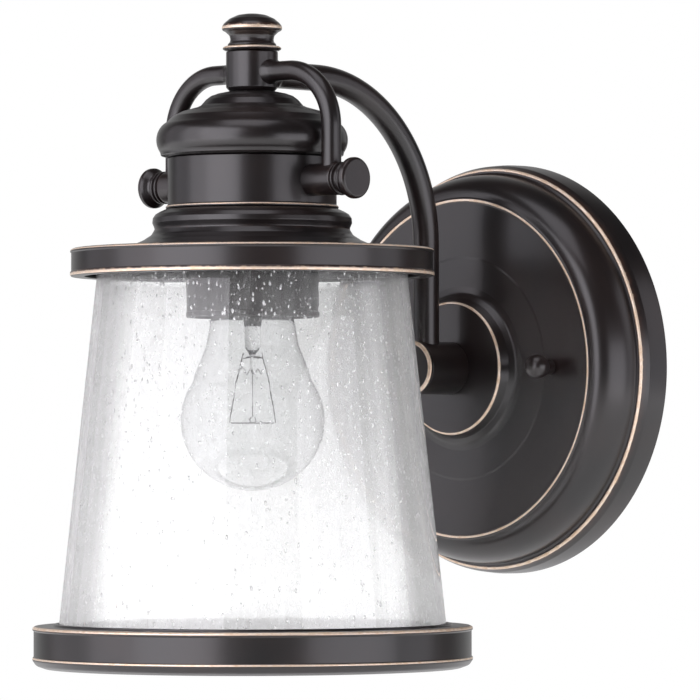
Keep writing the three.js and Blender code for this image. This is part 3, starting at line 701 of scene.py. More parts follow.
def seeds_tree():
    """Strews stretched air bubbles over a surface, many small and a few large."""
    tree, given, out = new_tree(
        "seeds",
        ("Seeds per square metre", "Float", 50000.0),
        ("Smallest radius", "Float", 0.00015),
        ("Largest radius", "Float", 0.0007),
        ("Longest stretch", "Float", 2.6),
        ("Lowest seed", "Float", -0.1),
        ("Highest seed", "Float", 0.04),
        ("Seed", "Int", 7),
        ("Finish", "Material", None),
    )
    give = given.outputs
    level = node(tree, "ShaderNodeSeparateXYZ", {0: node(tree, "GeometryNodeInputPosition")}).outputs["Z"]
    crowding = node(tree, RANGE, {
        "Value": level, "From Min": give["Lowest seed"], "From Max": give["Highest seed"], "To Min": 0.75,
        "To Max": 1.5,
    })
    density = node(tree, MATH, {
        0: crowding, 1: give["Seeds per square metre"],
    }, operation="MULTIPLY")
    spots = node(tree, "GeometryNodeDistributePointsOnFaces", {
        "Mesh": give["Geometry"], "Density": density, "Seed": give["Seed"],
    })
    chance = node(tree, "FunctionNodeRandomValue", {"Seed": give["Seed"]}, data_type="FLOAT").outputs[1]
    rare = node(tree, MATH, {0: chance, 1: 3.5}, operation="POWER")
    size = node(tree, RANGE, {
        "Value": rare, "To Min": give["Smallest radius"], "To Max": give["Largest radius"],
    })
    stretch = node(tree, "FunctionNodeRandomValue", {
        2: 1.0, 3: give["Longest stretch"], "Seed": 19,
    }, data_type="FLOAT").outputs[1]
    length = node(tree, MATH, {0: size, 1: stretch}, operation="MULTIPLY")
    scale = node(tree, "ShaderNodeCombineXYZ", {"X": size, "Y": size, "Z": length})
    bubble = node(tree, "GeometryNodeMeshIcoSphere", {"Radius": 1.0, "Subdivisions": 1})
    placed = node(tree, "GeometryNodeInstanceOnPoints", {
        "Points": spots.outputs["Points"], "Instance": bubble.outputs["Mesh"], "Scale": scale,
    })
    real = node(tree, "GeometryNodeRealizeInstances", {"Geometry": placed})
    smooth = node(tree, "GeometryNodeSetShadeSmooth", {"Geometry": real})
    coated = node(tree, "GeometryNodeSetMaterial", {
        "Geometry": smooth, "Material": give["Finish"],
    })
    tree.links.new(coated.outputs[0], out.inputs[0])
    return tree


def winding_tree():
    """A ridge or wire wound round the Z axis: a screw thread, or a lamp's filament."""
    tree, given, out = new_tree(
        "winding",
        ("Rounds", "Float", 10.0),
        ("Radius", "Float", 0.002),
        ("Height", "Float", 0.01),
        ("Section", "Float", 0.0003),
        ("Section sides", "Int", 4),
        ("Steps per round", "Int", 24),
        ("Finish", "Material", None),
    )
    give = given.outputs
    line = node(tree, "GeometryNodeCurveSpiral", {
        "Resolution": give["Steps per round"], "Rotations": give["Rounds"], "Start Radius": give["Radius"],
        "End Radius": give["Radius"], "Height": give["Height"],
    })
    section = node(tree, "GeometryNodeCurvePrimitiveCircle", {
        "Resolution": give["Section sides"], "Radius": give["Section"],
    })
    wire = node(tree, "GeometryNodeCurveToMesh", {
        "Curve": line, "Profile Curve": section.outputs["Curve"], "Fill Caps": True,
    })
    real = node(tree, "GeometryNodeRealizeInstances", {"Geometry": wire})
    coated = node(tree, "GeometryNodeSetMaterial", {
        "Geometry": real, "Material": give["Finish"],
    })
    tree.links.new(coated.outputs[0], out.inputs[0])
    return tree


SEEDS = seeds_tree()
WINDING = winding_tree()


def thread(name, radius, pitch, low, high, place, finish, ridge=0.45):
    """A screw thread's ridge from low to high on an axis, in millimetres."""
    piece = grown(name, WINDING, {
        "Rounds": (high - low) / pitch, "Radius": radius * MM, "Height": (high - low) * MM,
        "Section": ridge * pitch * MM, "Finish": finish})
    piece.data.transform(place @ Matrix.Scale(1 / MM, 4) @ Matrix.Translation((0, 0, low * MM)))
    return piece


def threaded(name, slot, outline, place, radius, pitch, low, high, ridge):
    """A turned shank or tube with its thread from low to high."""
    core = turned("core", rounded(outline), place, SMALL)
    crest = thread("ridge", radius, pitch, low, high, place, FINISH[slot], ridge)
    return fit(joined(name, core, crest), slot, name)


def lock_nut(name, flats, bore, ends, place):
    """A plated hexagon nut between two ends."""
    return fit(hex_nut(name, flats, bore, *ends, place), "zinc_steel", name)


# ------------------------------------------------------------------ backplate and its wall fixings

def make_backplate():
    rim, front = depths("backplate")
    face = front - 6.7
    edge = rim + 14.6
    shell = rounded([
        (89.3, rim, 0.2), (89.25, rim + 5), (88.7, rim + 10.6, 3), (87.1, edge, 0.65, 1.0),
        (85.5, edge + 0.1, 0.3), (84.8, edge + 0.9, 0.3), *bow((74.0, 16.8), (10.6, 15.9), 0, 88, 18),
        (73.9, face - 0.1, 0.3), (73.2, face + 0.15, 0.75, 1.0), (71.8, face - 0.35, 0.4),
        (60, face - 0.5, 3), (48.6, face - 0.75, 0.6), (47.6, face - 0.6, 0.8), (35.6, face - 0.35, 0.8),
        (32.8, face + 0.1, 3), (30.4, face + 2.4, 2), (29.1, face + 5.4, 0.6),
        (28.6, front - 0.1, 0.6, 1.0), (27.4, front, 0.5), (6.8, front, 0.3), (6.8, front - 1.2, 0.3),
        (27.2, front - 1.2, 1), (28.0, face + 3.4, 1.5), (30.8, face - 1.3, 2), (72.6, face - 1.6, 1.2),
        (73.0, 31.2), *bow((74.0, 16.8), (9.4, 14.4), 84, 0, 12), (83.4, edge - 0.8, 0.3),
        (85.8, edge - 1.3, 0.6), (87.6, rim + 10.2, 3), (88.1, rim + 5), (88.1, rim, 0.2),
    ])
    return fit(turned("backplate", shell, outward(), FINE + 32), "bronze", "backplate")


def flat_strap(name, outer, holes, thickness, bevel, place):
    """A stamped flat bar from closed outlines, its edges broken by the stamping."""
    curve = bpy.data.curves.new(name, "CURVE")
    curve.dimensions = "2D"
    curve.fill_mode = "BOTH"
    curve.extrude = thickness / 2 - bevel
    curve.bevel_depth = bevel
    curve.bevel_resolution = 2
    curve.offset = -bevel
    for ring in (outer, *holes):
        spline = curve.splines.new("POLY")
        spline.points.add(len(ring) - 1)
        spline.use_cyclic_u = True
        for point, (x, y) in zip(spline.points, ring):
            point.co = (x, y, 0, 1)
    flat = bpy.data.objects.new(name + "_flat", curve)
    bpy.context.scene.collection.objects.link(flat)
    mesh = bpy.data.meshes.new_from_object(
        flat.evaluated_get(bpy.context.evaluated_depsgraph_get()))
    bpy.data.objects.remove(flat)
    shape = bmesh.new()
    shape.from_mesh(mesh)
    bmesh.ops.remove_doubles(shape, verts=shape.verts, dist=1e-4)
    bmesh.ops.recalc_face_normals(shape, faces=shape.faces)
    points = [v.co.copy() for v in shape.verts]
    shape.verts.index_update()
    faces = [tuple(v.index for v in f.verts) for f in shape.faces]
    shape.free()
    return finished(name, points, faces, place)


def make_crossbar():
    back, front = depths("crossbar")
    low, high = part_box("crossbar")
    end = (high.z - low.z) / 2 / MM
    straight = high.x / MM - end
    ring = lambda x, r, a, b, n=20: bow((x, 0), (r, r), a, b, n)
    outer = ring(straight, end, -90, 90) + ring(-straight, end, 90, 270)
    slots = [ring(x + 5, 2.6, -90, 90) + ring(x - 5, 2.6, 90, 270) for x in (-38, 38)]
    holes = [ring(x, 2.3, 0, 345, 23) for x in (GROUND_SCREW_X, -NUT_X / MM, NUT_X / MM)]
    place = Matrix.Translation((0, -(back + front) / 2 * MM, 0)) @ outward()
    return fit(flat_strap("crossbar", outer, slots + holes, front - back, 0.3, place),
               "zinc_steel", "crossbar")


def make_wall_fixings():
    back, front = depths("wall_gasket")
    inner = 83.4
    turned_part("wall_gasket", "foam", [
        (inner, back, 0.2), (87.3, back, 0.2), (87.35, front - 0.8, 1), (86.6, front, 0.6),
        (inner + 0.5, front, 0.6),
    ], outward(), FINE)
    for name, side in SIDES:
        place = outward(side * NUT_X)
        start, tip = depths(f"mounting_stud_{name}")
        threaded(f"mounting_stud_{name}", "zinc_steel", [
            (0, start), (1.5, start, 0.3), (1.75, start + 0.5), (1.75, tip - 0.8), (1.3, tip, 0.2), (0, tip),
        ], place, 1.7, SCREW_PITCH, start + 0.4, tip - 0.5, 0.36)
        lock_nut(f"stud_nut_{name}", 8, 2.25, depths(f"stud_nut_{name}"), place)
    place = outward(GROUND_SCREW_X * MM)
    start, tip = depths("ground_screw")
    head = hex_nut("head", 7, 0, tip - 2.4, tip, place)
    collar = turned("collar", rounded([(0, tip - 2.6), (3.9, tip - 2.6, 0.2), (3.9, tip - 2.1, 0.2),
                                       (0, tip - 2.1)]), place, SMALL)
    shank = turned("shank", rounded(rod(1.75, start, tip - 2.3)), place, SMALL)
    ridge = thread("ridge", 1.7, SCREW_PITCH, start + 0.3, tip - 2.7, place, FINISH["green_zinc"], 0.36)
    fit(joined("ground_screw", head, collar, shank, ridge), "green_zinc", "ground_screw")


def make_ball_nuts():
    for name, side in SIDES:
        foot, tip = depths(f"ball_nut_{name}")
        ball = 5.2
        outline = rounded([
            (2.4, foot, 0.2), (3.4, foot, 0.25), (3.4, foot + 1.7, 0.5),
            *bow((0, tip - ball), (ball, ball), -49, 89.9, 26), (0, tip),
            (0, tip - 7.4), (2.4, tip - 7.4, 0.3),
        ])
        fit(turned(f"ball_nut_{name}", outline, outward(side * NUT_X), MIDDLE), "bronze", f"ball_nut_{name}")


# ------------------------------------------------------------------ stem and main arm

def make_stem():
    back, front = depths("stem")
    turned_part("stem", "bronze", [
        (5.4, back, 0.2), (11.4, back, 0.2), (11.4, front, 0.25), (5.4, front, 0.2),
    ], outward(), MIDDLE)
    inside, face = depths("stem_cap")
    lip = front + 0.3
    turned_part("stem_cap", "bronze", [
        (0, inside), (5.1, inside, 0.3), (5.1, lip), (11.2, lip, 0.2), (11.6, lip + 0.5, 0.3),
        (11.6, face - 0.4, 0.7, 1.0), (10.4, face, 0.5, 0.9), (9.8, face - 0.25, 0.4), (0, face - 0.25),
    ], outward(), MIDDLE)
    low, high = depths("stem_nipple")
    threaded("stem_nipple", "zinc_steel", sleeve(3.3, 4.85, low, high, 0.2), outward(),
             4.8, PIPE_PITCH, low + 0.6, high - 0.6, 0.3)
    lock_nut("stem_nut", 17, 5.5, depths("stem_nut"), outward())


def make_main_arm():
    low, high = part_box("main_arm")
    thick = (high.x - low.x) / 2 / MM
    start = Vector((0, low.y / MM, high.z / MM - thick))
    corner = Vector((0, high.y / MM - thick, start.z))
    end = Vector((0, corner.y, low.z / MM))
    arm = swept("main_arm", bent_run(start, corner, end, 68, 60), thick, Vector((1, 0, 0)), 64, 1.9, 4.4)
    return fit(arm, "bronze", "main_arm")


# ------------------------------------------------------------------ hub, finial and yoke

def make_hub():
    low, high = heights("hub")
    turned_part("hub", "bronze", [
        (5.1, low), (9.4, low, 0.5), (10.8, low + 1.5, 0.8), (10.8, high - 0.3, 0.5), (10.2, high, 0.3),
        (3.4, high, 0.2), (3.4, high - 3.2), (5.1, high - 3.2),
    ], on_axis, MIDDLE)
    low, high = heights("finial_washer")
    turned_part("finial_washer", "bronze", [
        (3.4, low), (11.2, low, 0.3), (12.2, low + 0.55, 0.4), (12.2, high - 0.5, 0.55, 1.0),
        (11.2, high, 0.5, 0.9), (3.4, high),
    ], on_axis, MIDDLE)


def make_finial():
    low, top = heights("finial")
    washer_top = heights("finial_washer")[1]
    foot = washer_top + 0.3
    outline = rounded([
        (0, low), (3.0, low, 0.2), (3.0, foot), (10.2, foot, 0.35), (10.0, foot + 0.7, 0.5),
        (9.2, foot + 1.5, 0.8), (9.0, foot + 2.6, 2.0), (9.4, foot + 4.2, 1.2), (11.0, foot + 5.7, 1.0),
        (12.3, foot + 6.4, 0.5), (12.6, foot + 7.3, 0.7, 0.95), (12.3, foot + 8.4, 0.8, 0.5),
        (11.4, foot + 9.5, 1.5), (9.4, foot + 11.2, 3), (6.0, foot + 12.75, 5), (2.6, foot + 13.3, 4),
        (0, top),
    ])
    return fit(turned("finial", outline, on_axis, MIDDLE), "bronze", "finial")


def make_yoke():
    for name, side in SIDES:
        low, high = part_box(f"yoke_arm_{name}")
        thick = (high.y - low.y) / 2 / MM
        outer = max(abs(low.x), abs(high.x)) / MM - thick
        inner = min(abs(low.x), abs(high.x)) / MM
        level = high.z / MM - thick
        lamp = LAMP_Y / MM
        path = bent_run(Vector((side * inner, lamp, level)), Vector((side * outer, lamp, level)),
                        Vector((side * outer, lamp, low.z / MM)), 24, 40)
        fit(swept(f"yoke_arm_{name}", path, thick, Vector((0, 1, 0)), SMALL, 1.3, 4.4),
            "bronze", f"yoke_arm_{name}")
        near, far = reach(f"side_boss_{name}")
        turned_part(f"side_boss_{name}", "bronze", [
            (2.6, 34.3), (6.7, 34.3), (6.7, far, 0.5, 0.2), (2.6, far, 0.2),
        ], sideways(side), MIDDLE)


def make_thumb_screws():
    for name, side in SIDES:
        tip, face = reach(f"thumb_screw_{name}")
        seat = reach(f"side_boss_{name}")[1]
        outline = rounded([
            (0, tip), (1.8, tip, 0.3), (2.2, tip + 0.6, 0.2), (2.2, seat + 0.4), (6.1, seat + 0.4, 0.35),
            (6.9, seat + 0.9, 0.4), (6.9, seat + 1.7, 0.4), (5.7, seat + 2.2, 0.3), (5.7, seat + 2.7, 0.3),
            (6.7, seat + 3.2, 0.4), (6.7, seat + 4.0, 0.4), (6.2, seat + 4.5, 0.5), (6.6, seat + 5.4, 1.5),
            (7.9, seat + 6.8, 1.5), (8.5, face - 2.6, 0.6), (8.5, face - 0.9, 0.9, 0.2),
            (7.5, face - 0.05, 1.0), (4.5, face, 4), (0, face),
        ])
        fit(turned(f"thumb_screw_{name}", outline, sideways(side), MIDDLE), "bronze", f"thumb_screw_{name}")
        lock_nut(f"insert_nut_{name}", 11, 2.6, reach(f"insert_nut_{name}"), sideways(side))


# ------------------------------------------------------------------ crown, band and shade cap

def make_crown():
    foot, top = heights("crown")
    waist = foot + 7.3
    outer = [
        (35.2, foot, 0.3), (38.0, foot + 0.8, 0.6),
        *bow((32.4, waist), (7.5, 8.2), -38, 64, 22),
        (33.0, foot + 17.2, 3), (29, foot + 19.2, 2), (23.2, foot + 20.8, 1.2), (21.4, foot + 21.6, 1.0),
        (19.2, foot + 24.1, 1.6), (17.2, foot + 25.6, 2), (14.4, foot + 26.6, 2), (10.6, top, 0.3),
    ]
    inner = [
        (5.1, top), (5.1, top - 1.2), (10.4, top - 1.2), (16.6, foot + 24.1, 2), (20.8, foot + 20.2, 2),
        (28.6, foot + 17.7, 2), *bow((32.4, waist), (6.3, 7.0), 60, -30, 8), (34.9, foot + 1.2),
        (31.2, foot + 1.2), (31.2, foot),
    ]
    turned_part("crown", "bronze", outer + inner, on_axis, FINE)
    lock_nut("crown_nut", 14, 5.2, heights("crown_nut"), on_axis)


def make_band():
    low, high = heights("band")
    turned_part("band", "bronze", [
        (31.2, low), (36.0, low, 0.3), (36.0, low + 0.9, 0.45, 0.75), (35.2, low + 1.5, 0.3),
        (35.2, high, 0.3), (34.0, high), (34.0, low + 1.2), (31.2, low + 1.2),
    ], on_axis, FINE)


def make_shade_cap():
    foot, web = heights("shade_cap")
    shelf = foot + 11.6
    turned_part("shade_cap", "bronze", [
        (75.3, foot, 0.3), (75.8, foot + 0.6, 0.5, 1.0), (75.75, foot + 1.9, 0.5, 0.5),
        (75.3, foot + 2.3, 0.3), (75.3, shelf - 1.9, 0.3), (75.75, shelf - 1.4, 0.5),
        (75.6, shelf - 0.6, 0.5, 0.8), (74.6, shelf, 0.6, 0.45), (72, shelf + 0.05), (58, shelf + 0.3, 8),
        (50.2, shelf + 1.3, 8), (45.4, shelf + 3.4, 5), (42, shelf + 5.6, 3), (40.6, shelf + 8, 1.2, 0.2),
        (40.9, shelf + 9.0, 0.3), (41.6, shelf + 10.6, 0.9), (41.4, shelf + 12.6, 1.0),
        (40.3, shelf + 14.2, 1.0), (38.4, shelf + 15.3, 0.6), (36.4, web, 0.4), (5.1, web),
        (5.1, web - 1.2), (36, web - 1.2, 1), (40.1, web - 4, 1), (39.4, web - 9, 1.5),
        (41.2, web - 11.7, 2), (50, shelf + 0.1, 4), (58, shelf - 0.9, 4), (74.0, shelf - 1.2, 0.8),
        (74.2, foot + 1.4, 0.3), (69.8, foot + 1.2, 0.2), (69.8, foot, 0.2),
    ], on_axis, FINE + 32)
    lock_nut("cap_nut", 14, 5.2, heights("cap_nut"), on_axis)
    low, high = heights("centre_nipple")
    threaded("centre_nipple", "zinc_steel", sleeve(3.3, 4.55, low, high, 0.2), on_axis,
             4.5, PIPE_PITCH, low + 0.6, high - 0.6, 0.28)


# ------------------------------------------------------------------ glass shade, its seeds and its ring

def make_glass():
    foot, top = heights("glass_shade")
    wall = GLASS_WALL
    slope = (SHADE_FOOT - SHADE_TOP) / (top - foot)
    cone = lambda z: SHADE_TOP + slope * (top - z)
    turned_part("glass_shade", "seeded_glass", [
        (21.5, top - wall, 0.5), (58.6, top - wall, 2.5), (cone(top - 3) - wall, top - wall - 2.2, 0.5),
        (cone(foot) - wall, foot, 0.5), (cone(foot), foot, 0.5), (cone(top - 4), top - 4),
        (cone(top - 3), top - 3), *bow((cone(top) - 3, top - 3), (3, 3), 12, 88, 8), (21.5, top, 0.5),
    ], on_axis, FINE + 32)
    facets, rows = 96, 24
    low, high = foot + 3, top - 5
    points, faces = [], []
    for row in range(rows + 1):
        z = low + (high - low) * row / rows
        for k in range(facets):
            a = 2 * math.pi * k / facets
            radius = (cone(z) - wall / 2) * MM
            points.append((radius * math.cos(a), LAMP_Y + radius * math.sin(a), z * MM))
    for row in range(rows):
        for k in range(facets):
            a, b = row * facets + k, row * facets + (k + 1) % facets
            faces.append((a, b, b + facets, a + facets))
    carrier = bpy.data.meshes.new("seed_bed")
    carrier.from_pydata(points, [], faces)
    seeds = grown("glass_seeds", SEEDS, {
        "Seeds per square metre": 108000.0, "Smallest radius": 0.11 * MM, "Largest radius": 0.66 * MM,
        "Longest stretch": 2.4, "Lowest seed": low * MM, "Highest seed": high * MM, "Seed": 11,
        "Finish": AIR}, carrier)
    seeds.data.materials.clear()
    seeds.data.materials.append(AIR)
    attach(seeds, "lantern_frame")


def make_glass_fittings():
    low, high = heights("glass_gasket")
    turned_part("glass_gasket", "foam", sleeve(22.6, 37.9, low, high, 0.5), on_axis, MIDDLE)
    low, high = heights("cup_gasket")
    turned_part("cup_gasket", "foam", sleeve(21.6, 26.9, low, high, 0.4), on_axis, MIDDLE)
    low, high = heights("ring_seal")
    turned_part("ring_seal", "silicone", sleeve(78.0, 82.7, low, high, 0.4), on_axis, FINE)


def make_bottom_ring():
    low, lip = heights("bottom_ring")
    high = lip - 1
    turned_part("bottom_ring", "bronze", [
        (76.4, low + 0.6, 0.3), (77.0, low, 0.4), (86.6, low, 1.2), (90.0, low + 1.2, 2.4),
        (91.4, low + 3.3, 1.0), (91.5, low + 4.3, 0.65, 1.0), (90.95, low + 4.9, 0.25),
        (90.95, high - 2.1, 0.25), (91.45, high - 1.6, 0.4, 0.2), (91.4, high - 0.6, 0.7, 1.0),
        (90.3, high, 0.6, 0.5), (82.9, high, 0.3), (82.6, high + 0.9, 0.4), (81.2, lip, 0.3),
        (81.0, high - 1.6), (89.9, high - 2.6, 0.5), (89.9, low + 4.4, 1), (86.5, low + 1.6, 1),
        (83.3, low + 1.6, 0.3), (83.3, low + 2.5, 0.2), (76.4, low + 2.5, 0.3),
    ], on_axis, FINE + 32)


# ------------------------------------------------------------------ lampholder, cup and bulb

def make_lampholder():
    low, high = heights("lampholder")
    roof = high - 2.2
    turned_part("lampholder", "phenolic", [
        (14.7, low, 0.4), (18.4, low, 0.5), (18.4, high - 1.5, 0.8), (16.9, high, 0.8), (5.1, high, 0.3),
        (5.1, roof), (14.7, roof, 0.6),
    ], on_axis, MIDDLE)
    low, high = heights("screw_shell")
    rolled = lambda a, h: 0.22 * math.sin(2 * math.pi * h / LAMP_PITCH - a)
    wall = [(13.9, low + (high - low) * k / 40, 0) for k in range(41)]
    outside = [(14.1, h, 0) for _, h, _ in reversed(wall)]
    fit(turned("screw_shell", wall + outside, on_axis, MIDDLE, rolled), "brass", "screw_shell")
    low, high = heights("centre_contact")
    turned_part("centre_contact", "brass", [
        (0, low), (2.2, low, 0.4), (4, low + 0.4, 0.2), (4, high, 0.1), (0, high),
    ], on_axis, SMALL)


def make_socket_cup():
    low, high = heights("socket_cup")
    hole = 19.0
    turned_part("socket_cup", "bronze", [
        (26.4, low, 0.3), (27.3, low, 0.4), (27.8, low + 0.6, 0.3), (27.8, low + 2.2, 0.3),
        (27.5, low + 2.6, 0.2), (27.5, high - 2.4, 0.4), (27.3, high - 0.6, 0.9), (26.0, high, 0.8),
        (hole, high, 0.2), (hole, high - 9, 0.3), (hole + 1.4, high - 9, 0.3),
        (hole + 1.4, high - 1.5, 0.4), (26.3, high - 1.5, 0.9),
    ], on_axis, MIDDLE + 32)


def make_bulb():
    low, top = heights("bulb_glass")
    middle = low + 29.2
    outer = [
        *bow((0, middle), (30, 29.2), -90, 34, 40),
        (22.6, middle + 23.2, 8), (19.4, middle + 31.0, 12), (17.6, middle + 41, 8),
        (14.8, top - 9, 4), (12.0, top - 4.8, 1), (12.0, top, 0.2),
    ]
    outer[0] = (0, low)
    outline = rounded(outer, closed=False)
    inner = []
    for i, (r, h, _) in enumerate(outline):
        before, after = outline[max(i - 1, 0)], outline[min(i + 1, len(outline) - 1)]
        run = Vector((after[0] - before[0], after[1] - before[1])).normalized()
        inner.append((max(r - 0.6 * run.y, 0), h + 0.6 * run.x, 0))
    inner[0] = (0, low + 0.6, 0)
    fit(turned("bulb_glass", outline + inner[::-1], on_axis, MIDDLE + 32), "bulb_glass", "bulb_glass")

    low, top = heights("bulb_base")
    rolled = lambda a, h: 0.35 * math.sin(2 * math.pi * h / LAMP_PITCH - a) * (low + 1 < h < top - 4)
    rows = 48
    rolled_length = top - 4 - low
    skirt = [(12.7, low + 0.3 + (rolled_length - 0.3) * k / rows, 0) for k in range(rows + 1)]
    lining = [(12.3, h, 0) for _, h, _ in reversed(skirt)]
    fit(turned("bulb_base", skirt + [(9.6, top, 0), (9.0, top - 0.2, 0)] + lining, on_axis, MIDDLE, rolled),
        "aluminium", "bulb_base")
    low, high = heights("bulb_insulator")
    turned_part("bulb_insulator", "black_glass", [
        (0, low), (8, low, 0.2), (8.4, low + 1.3, 0.4), (5, high, 0.4), (0, high),
    ], on_axis, SMALL)
    low, high = heights("bulb_tip")
    turned_part("bulb_tip", "aluminium", [
        (0, low), (4.4, low, 0.15), (3.6, high - 0.4, 0.6), (1.4, high, 0.6), (0, high),
    ], on_axis, SMALL)


def make_bulb_mount():
    low, high = heights("bulb_stem")
    press = low + 8
    turned_part("bulb_stem", "bulb_glass", [
        (0, low), (0.9, low, 0.4), (1.1, press - 1, 0.5), (1.5, press + 0.5, 0.6), (3.1, press + 3, 1.2),
        (3.4, press + 12, 2), (5, press + 20, 3), (9.7, high, 0.3), (0, high),
    ], on_axis, SMALL)
    for name, _ in SIDES:
        low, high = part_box(f"lead_wire_{name}")
        side = -1 if name == "left" else 1
        thick = 0.22
        inset = 0.3
        x_in, x_out = sorted((abs(low.x), abs(high.x)))
        top = Vector((
            side * (x_in / MM + inset), LAMP_Y / MM + side * (x_in / MM + inset), high.z / MM - 0.1,
        ))
        foot = Vector((
            side * (x_out / MM - inset), LAMP_Y / MM + side * (x_out / MM - inset), low.z / MM + 0.2,
        ))
        knee = top.lerp(foot, 0.45) + Vector((side * 0.4, side * 0.4, 0))
        fit(swept(f"lead_wire_{name}", [top, knee, foot], thick, Vector((1, -1, 0)).normalized(), 12),
            "tungsten", f"lead_wire_{name}")
    low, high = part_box("filament")
    reach_of_coil = high - low
    length = math.hypot(reach_of_coil.x, reach_of_coil.y) / MM - 0.6
    coil = grown("filament", WINDING, {
        "Rounds": 34.0, "Radius": 0.32 * MM, "Height": length * MM, "Section": 0.11 * MM,
        "Section sides": 6, "Steps per round": 12, "Finish": FINISH["tungsten"]})
    turn = Matrix.Rotation(math.pi / 4, 4, "Z") @ Matrix.Rotation(math.pi / 2, 4, "Y")
    coil.data.transform(Matrix.Translation((low + high) / 2) @ turn
                        @ Matrix.Translation((0, 0, -length * MM / 2)))
    fit(coil, "tungsten", "filament")
    middle = (low + high) / 2 / MM
    tip = heights("bulb_stem")[0]
    along, aside = Vector((1, 1, 0)).normalized(), Vector((1, -1, 0)).normalized()
    at = lambda out, z: Vector((middle.x, middle.y, z)) + along * out
    loop = [at(1.3 * math.sin(a), middle.z + 1.3 - 1.3 * math.cos(a))
            for a in (math.radians(d) for d in range(-150, 151, 20))]
    hanger = [at(0, tip + 2), at(0.1, tip - 6), at(-0.1, middle.z + 6), at(0, middle.z + 2.5)]
    zigzag = [at(out, tip + rise) for out, rise in (
        (-5.2, 1.8), (-4.2, 3.0), (-2.4, -0.6), (-0.9, 2.4),
        (0.6, -0.4), (2.2, 2.6), (3.4, -0.2), (5.0, 2.2))]
    hooks = [at(4.4 * math.sin(d * 1.9), tip + 7 + 2.2 * math.sin(d * 3.1)) for d in range(9)]
    wires = [swept(f"wire_{k}", path, 0.2, aside, 8)
             for k, path in enumerate((loop, hanger, zigzag, hooks))]
    support = joined("filament_support", *wires)
    support.data.materials.append(FINISH["tungsten"])
    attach(support, frame["nodes"]["filament"]["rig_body"])


for make in (
    make_backplate, make_crossbar, make_wall_fixings, make_ball_nuts, make_stem, make_main_arm,
    make_hub, make_finial, make_yoke, make_thumb_screws, make_crown, make_band, make_shade_cap,
    make_glass, make_glass_fittings, make_bottom_ring, make_lampholder, make_socket_cup, make_bulb,
    make_bulb_mount,
):
    make()


# ------------------------------------------------------------------ floor, studio light and camera

VIEW_AZIMUTH = math.radians(43.73)
VIEW_ELEVATION = math.radians(-1.2)
VIEW_TARGET = Vector((45.47, -150.0, 5.7)) * MM
VIEW_DISTANCE = 2160 * MM
VIEW_ROLL = math.radians(-0.1)
SENSOR_WIDTH = 36
LENS_LENGTH = 269.9
GLASS_BOUNCES = 24   # enough for a ray through both walls, the bulb and a few seeds
ROSE_WHITE = "#fbf7ff"
LIT_POINT = Vector((0, -0.14, 0.02))
SOFTBOXES = (   # name, azimuth, elevation, distance, width, height, radiance
    ("softbox_left", 4.7, 8, 1.25, 1.06, 1.7, 2.8),
    ("softbox_left_side", -32.3, 8, 1.25, 0.62, 1.7, 1.75),
    ("softbox_left_rear", -63.3, 6, 1.25, 0.79, 1.7, 0.55),
    ("softbox_right", 96.5, -12, 1.25, 1.15, 1.1, 1.9),
    ("softbox_right_rear", 138, 2, 1.25, 0.5, 1.4, 0.8),
    ("softbox_top", 30, 72, 1.3, 0.9, 0.9, 1.4),
)
FLOOR_DROP = 0.30
FLOOR_RADIUS = 2.0


def make_floor():
    """A pale board under the lantern, well below it as on a studio stand."""
    z = -FLOOR_DROP
    board = turned("studio_floor", rounded([
        (0, z - 0.02), (FLOOR_RADIUS, z - 0.02, 0.004), (FLOOR_RADIUS, z, 0.004), (0, z)]),
        Matrix.Translation((0, LAMP_Y, 0)), MIDDLE)
    board.data.materials.append(material("board_painted_white", studio_floor))


def aimed(azimuth, elevation, distance, at):
    """A place on a ball round a point; azimuth 0 is in front of the wall and 90 to its right."""
    out = Vector((math.sin(azimuth) * math.cos(elevation), -math.cos(azimuth) * math.cos(elevation),
                  math.sin(elevation)))
    return at + out * distance, (-out).to_track_quat("-Z", "Y")


def softbox(name, azimuth, elevation, distance, width, height, radiance):
    """An even panel of light; radiance is its brightness where white paper in it would be 1."""
    lamp = bpy.data.lights.new(name, "AREA")
    lamp.shape = "RECTANGLE"
    lamp.size, lamp.size_y = width, height
    lamp.energy = radiance * width * height * math.pi
    lamp.color = linear(ROSE_WHITE)[:3]
    panel = bpy.data.objects.new(name, lamp)
    panel.location, turn = aimed(math.radians(azimuth), math.radians(elevation), distance, LIT_POINT)
    panel.rotation_euler = turn.to_euler()
    panel.visible_camera = False
    panel.visible_transmission = False
    bpy.context.scene.collection.objects.link(panel)


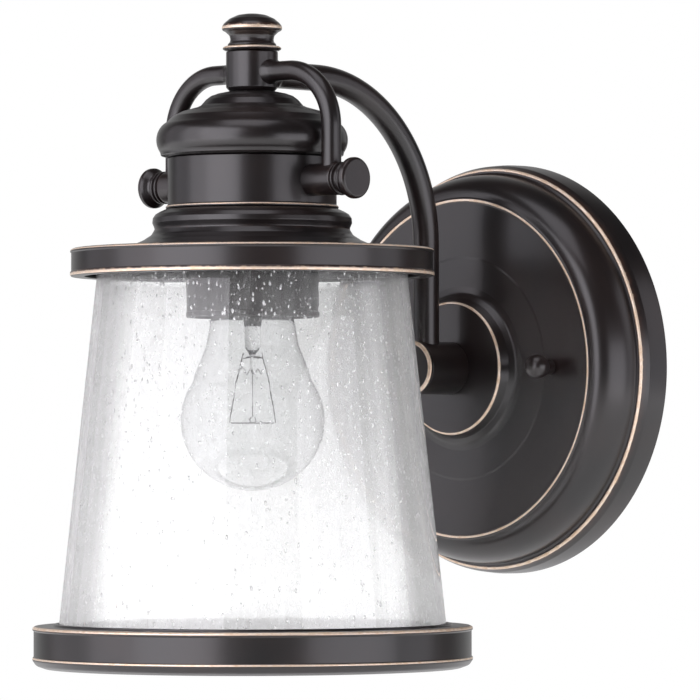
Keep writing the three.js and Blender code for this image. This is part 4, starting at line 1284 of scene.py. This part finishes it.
def make_studio():
    for panel in SOFTBOXES:
        softbox(*panel)
    world = bpy.data.worlds.new("studio")
    bpy.context.scene.world = world
    world.use_nodes = True
    tree = world.node_tree
    tree.nodes.clear()
    path = node(tree, "ShaderNodeLightPath").outputs
    bounced = node(tree, MATH, {0: path["Glossy Depth"], 1: path["Diffuse Depth"]}, operation="ADD")
    unbent = node(tree, MATH, {0: bounced, 1: 0.5}, operation="LESS_THAN")
    direct = node(tree, MATH, {0: unbent, 1: path["Is Camera Ray"]}, operation="MAXIMUM")
    sweep = node(tree, VECTOR_MATH, {
        0: node(tree, "ShaderNodeTexCoord").outputs["Generated"],
        1: (-math.sin(VIEW_AZIMUTH), math.cos(VIEW_AZIMUTH), 0.0),
    }, operation="DOT_PRODUCT").outputs["Value"]
    behind = node(tree, RANGE, ramp(sweep, 0.6, 0.97, 0.02, 0.5))
    scattered = node(tree, MATH, {0: path["Diffuse Depth"], 1: 0.5}, operation="GREATER_THAN")
    through = node(tree, MATH, {
        0: path["Transmission Depth"], 1: 0.5,
    }, operation="GREATER_THAN")
    soft = node(tree, RANGE, ramp(through, 0, 1, 0.8, 1.25))
    clear = node(tree, RANGE, ramp(through, 0, 1, 1.0, 1.14))
    ambient = node(tree, MIX, {"Factor": scattered, 2: behind, 3: soft})
    strength = node(tree, MIX, {"Factor": direct, 2: ambient, 3: clear})
    sky = node(tree, "ShaderNodeBackground", {"Color": (1, 1, 1, 1), "Strength": strength})
    out = node(tree, "ShaderNodeOutputWorld", {"Surface": sky})
    bpy.context.scene.view_settings.view_transform = "Standard"
    bpy.context.scene.cycles.max_bounces = GLASS_BOUNCES
    bpy.context.scene.cycles.transmission_bounces = GLASS_BOUNCES


def make_camera():
    lens = bpy.data.cameras.new("studio_camera")
    lens.sensor_width = SENSOR_WIDTH
    lens.lens = LENS_LENGTH
    lens.clip_start, lens.clip_end = 0.05, 50
    camera = bpy.data.objects.new("studio_camera", lens)
    camera.location, turn = aimed(VIEW_AZIMUTH, VIEW_ELEVATION, VIEW_DISTANCE, VIEW_TARGET)
    camera.rotation_mode = "QUATERNION"
    camera.rotation_quaternion = turn @ Matrix.Rotation(VIEW_ROLL, 4, "Z").to_quaternion()
    bpy.context.scene.collection.objects.link(camera)
    bpy.context.scene.camera = camera


make_floor()
make_studio()
make_camera()
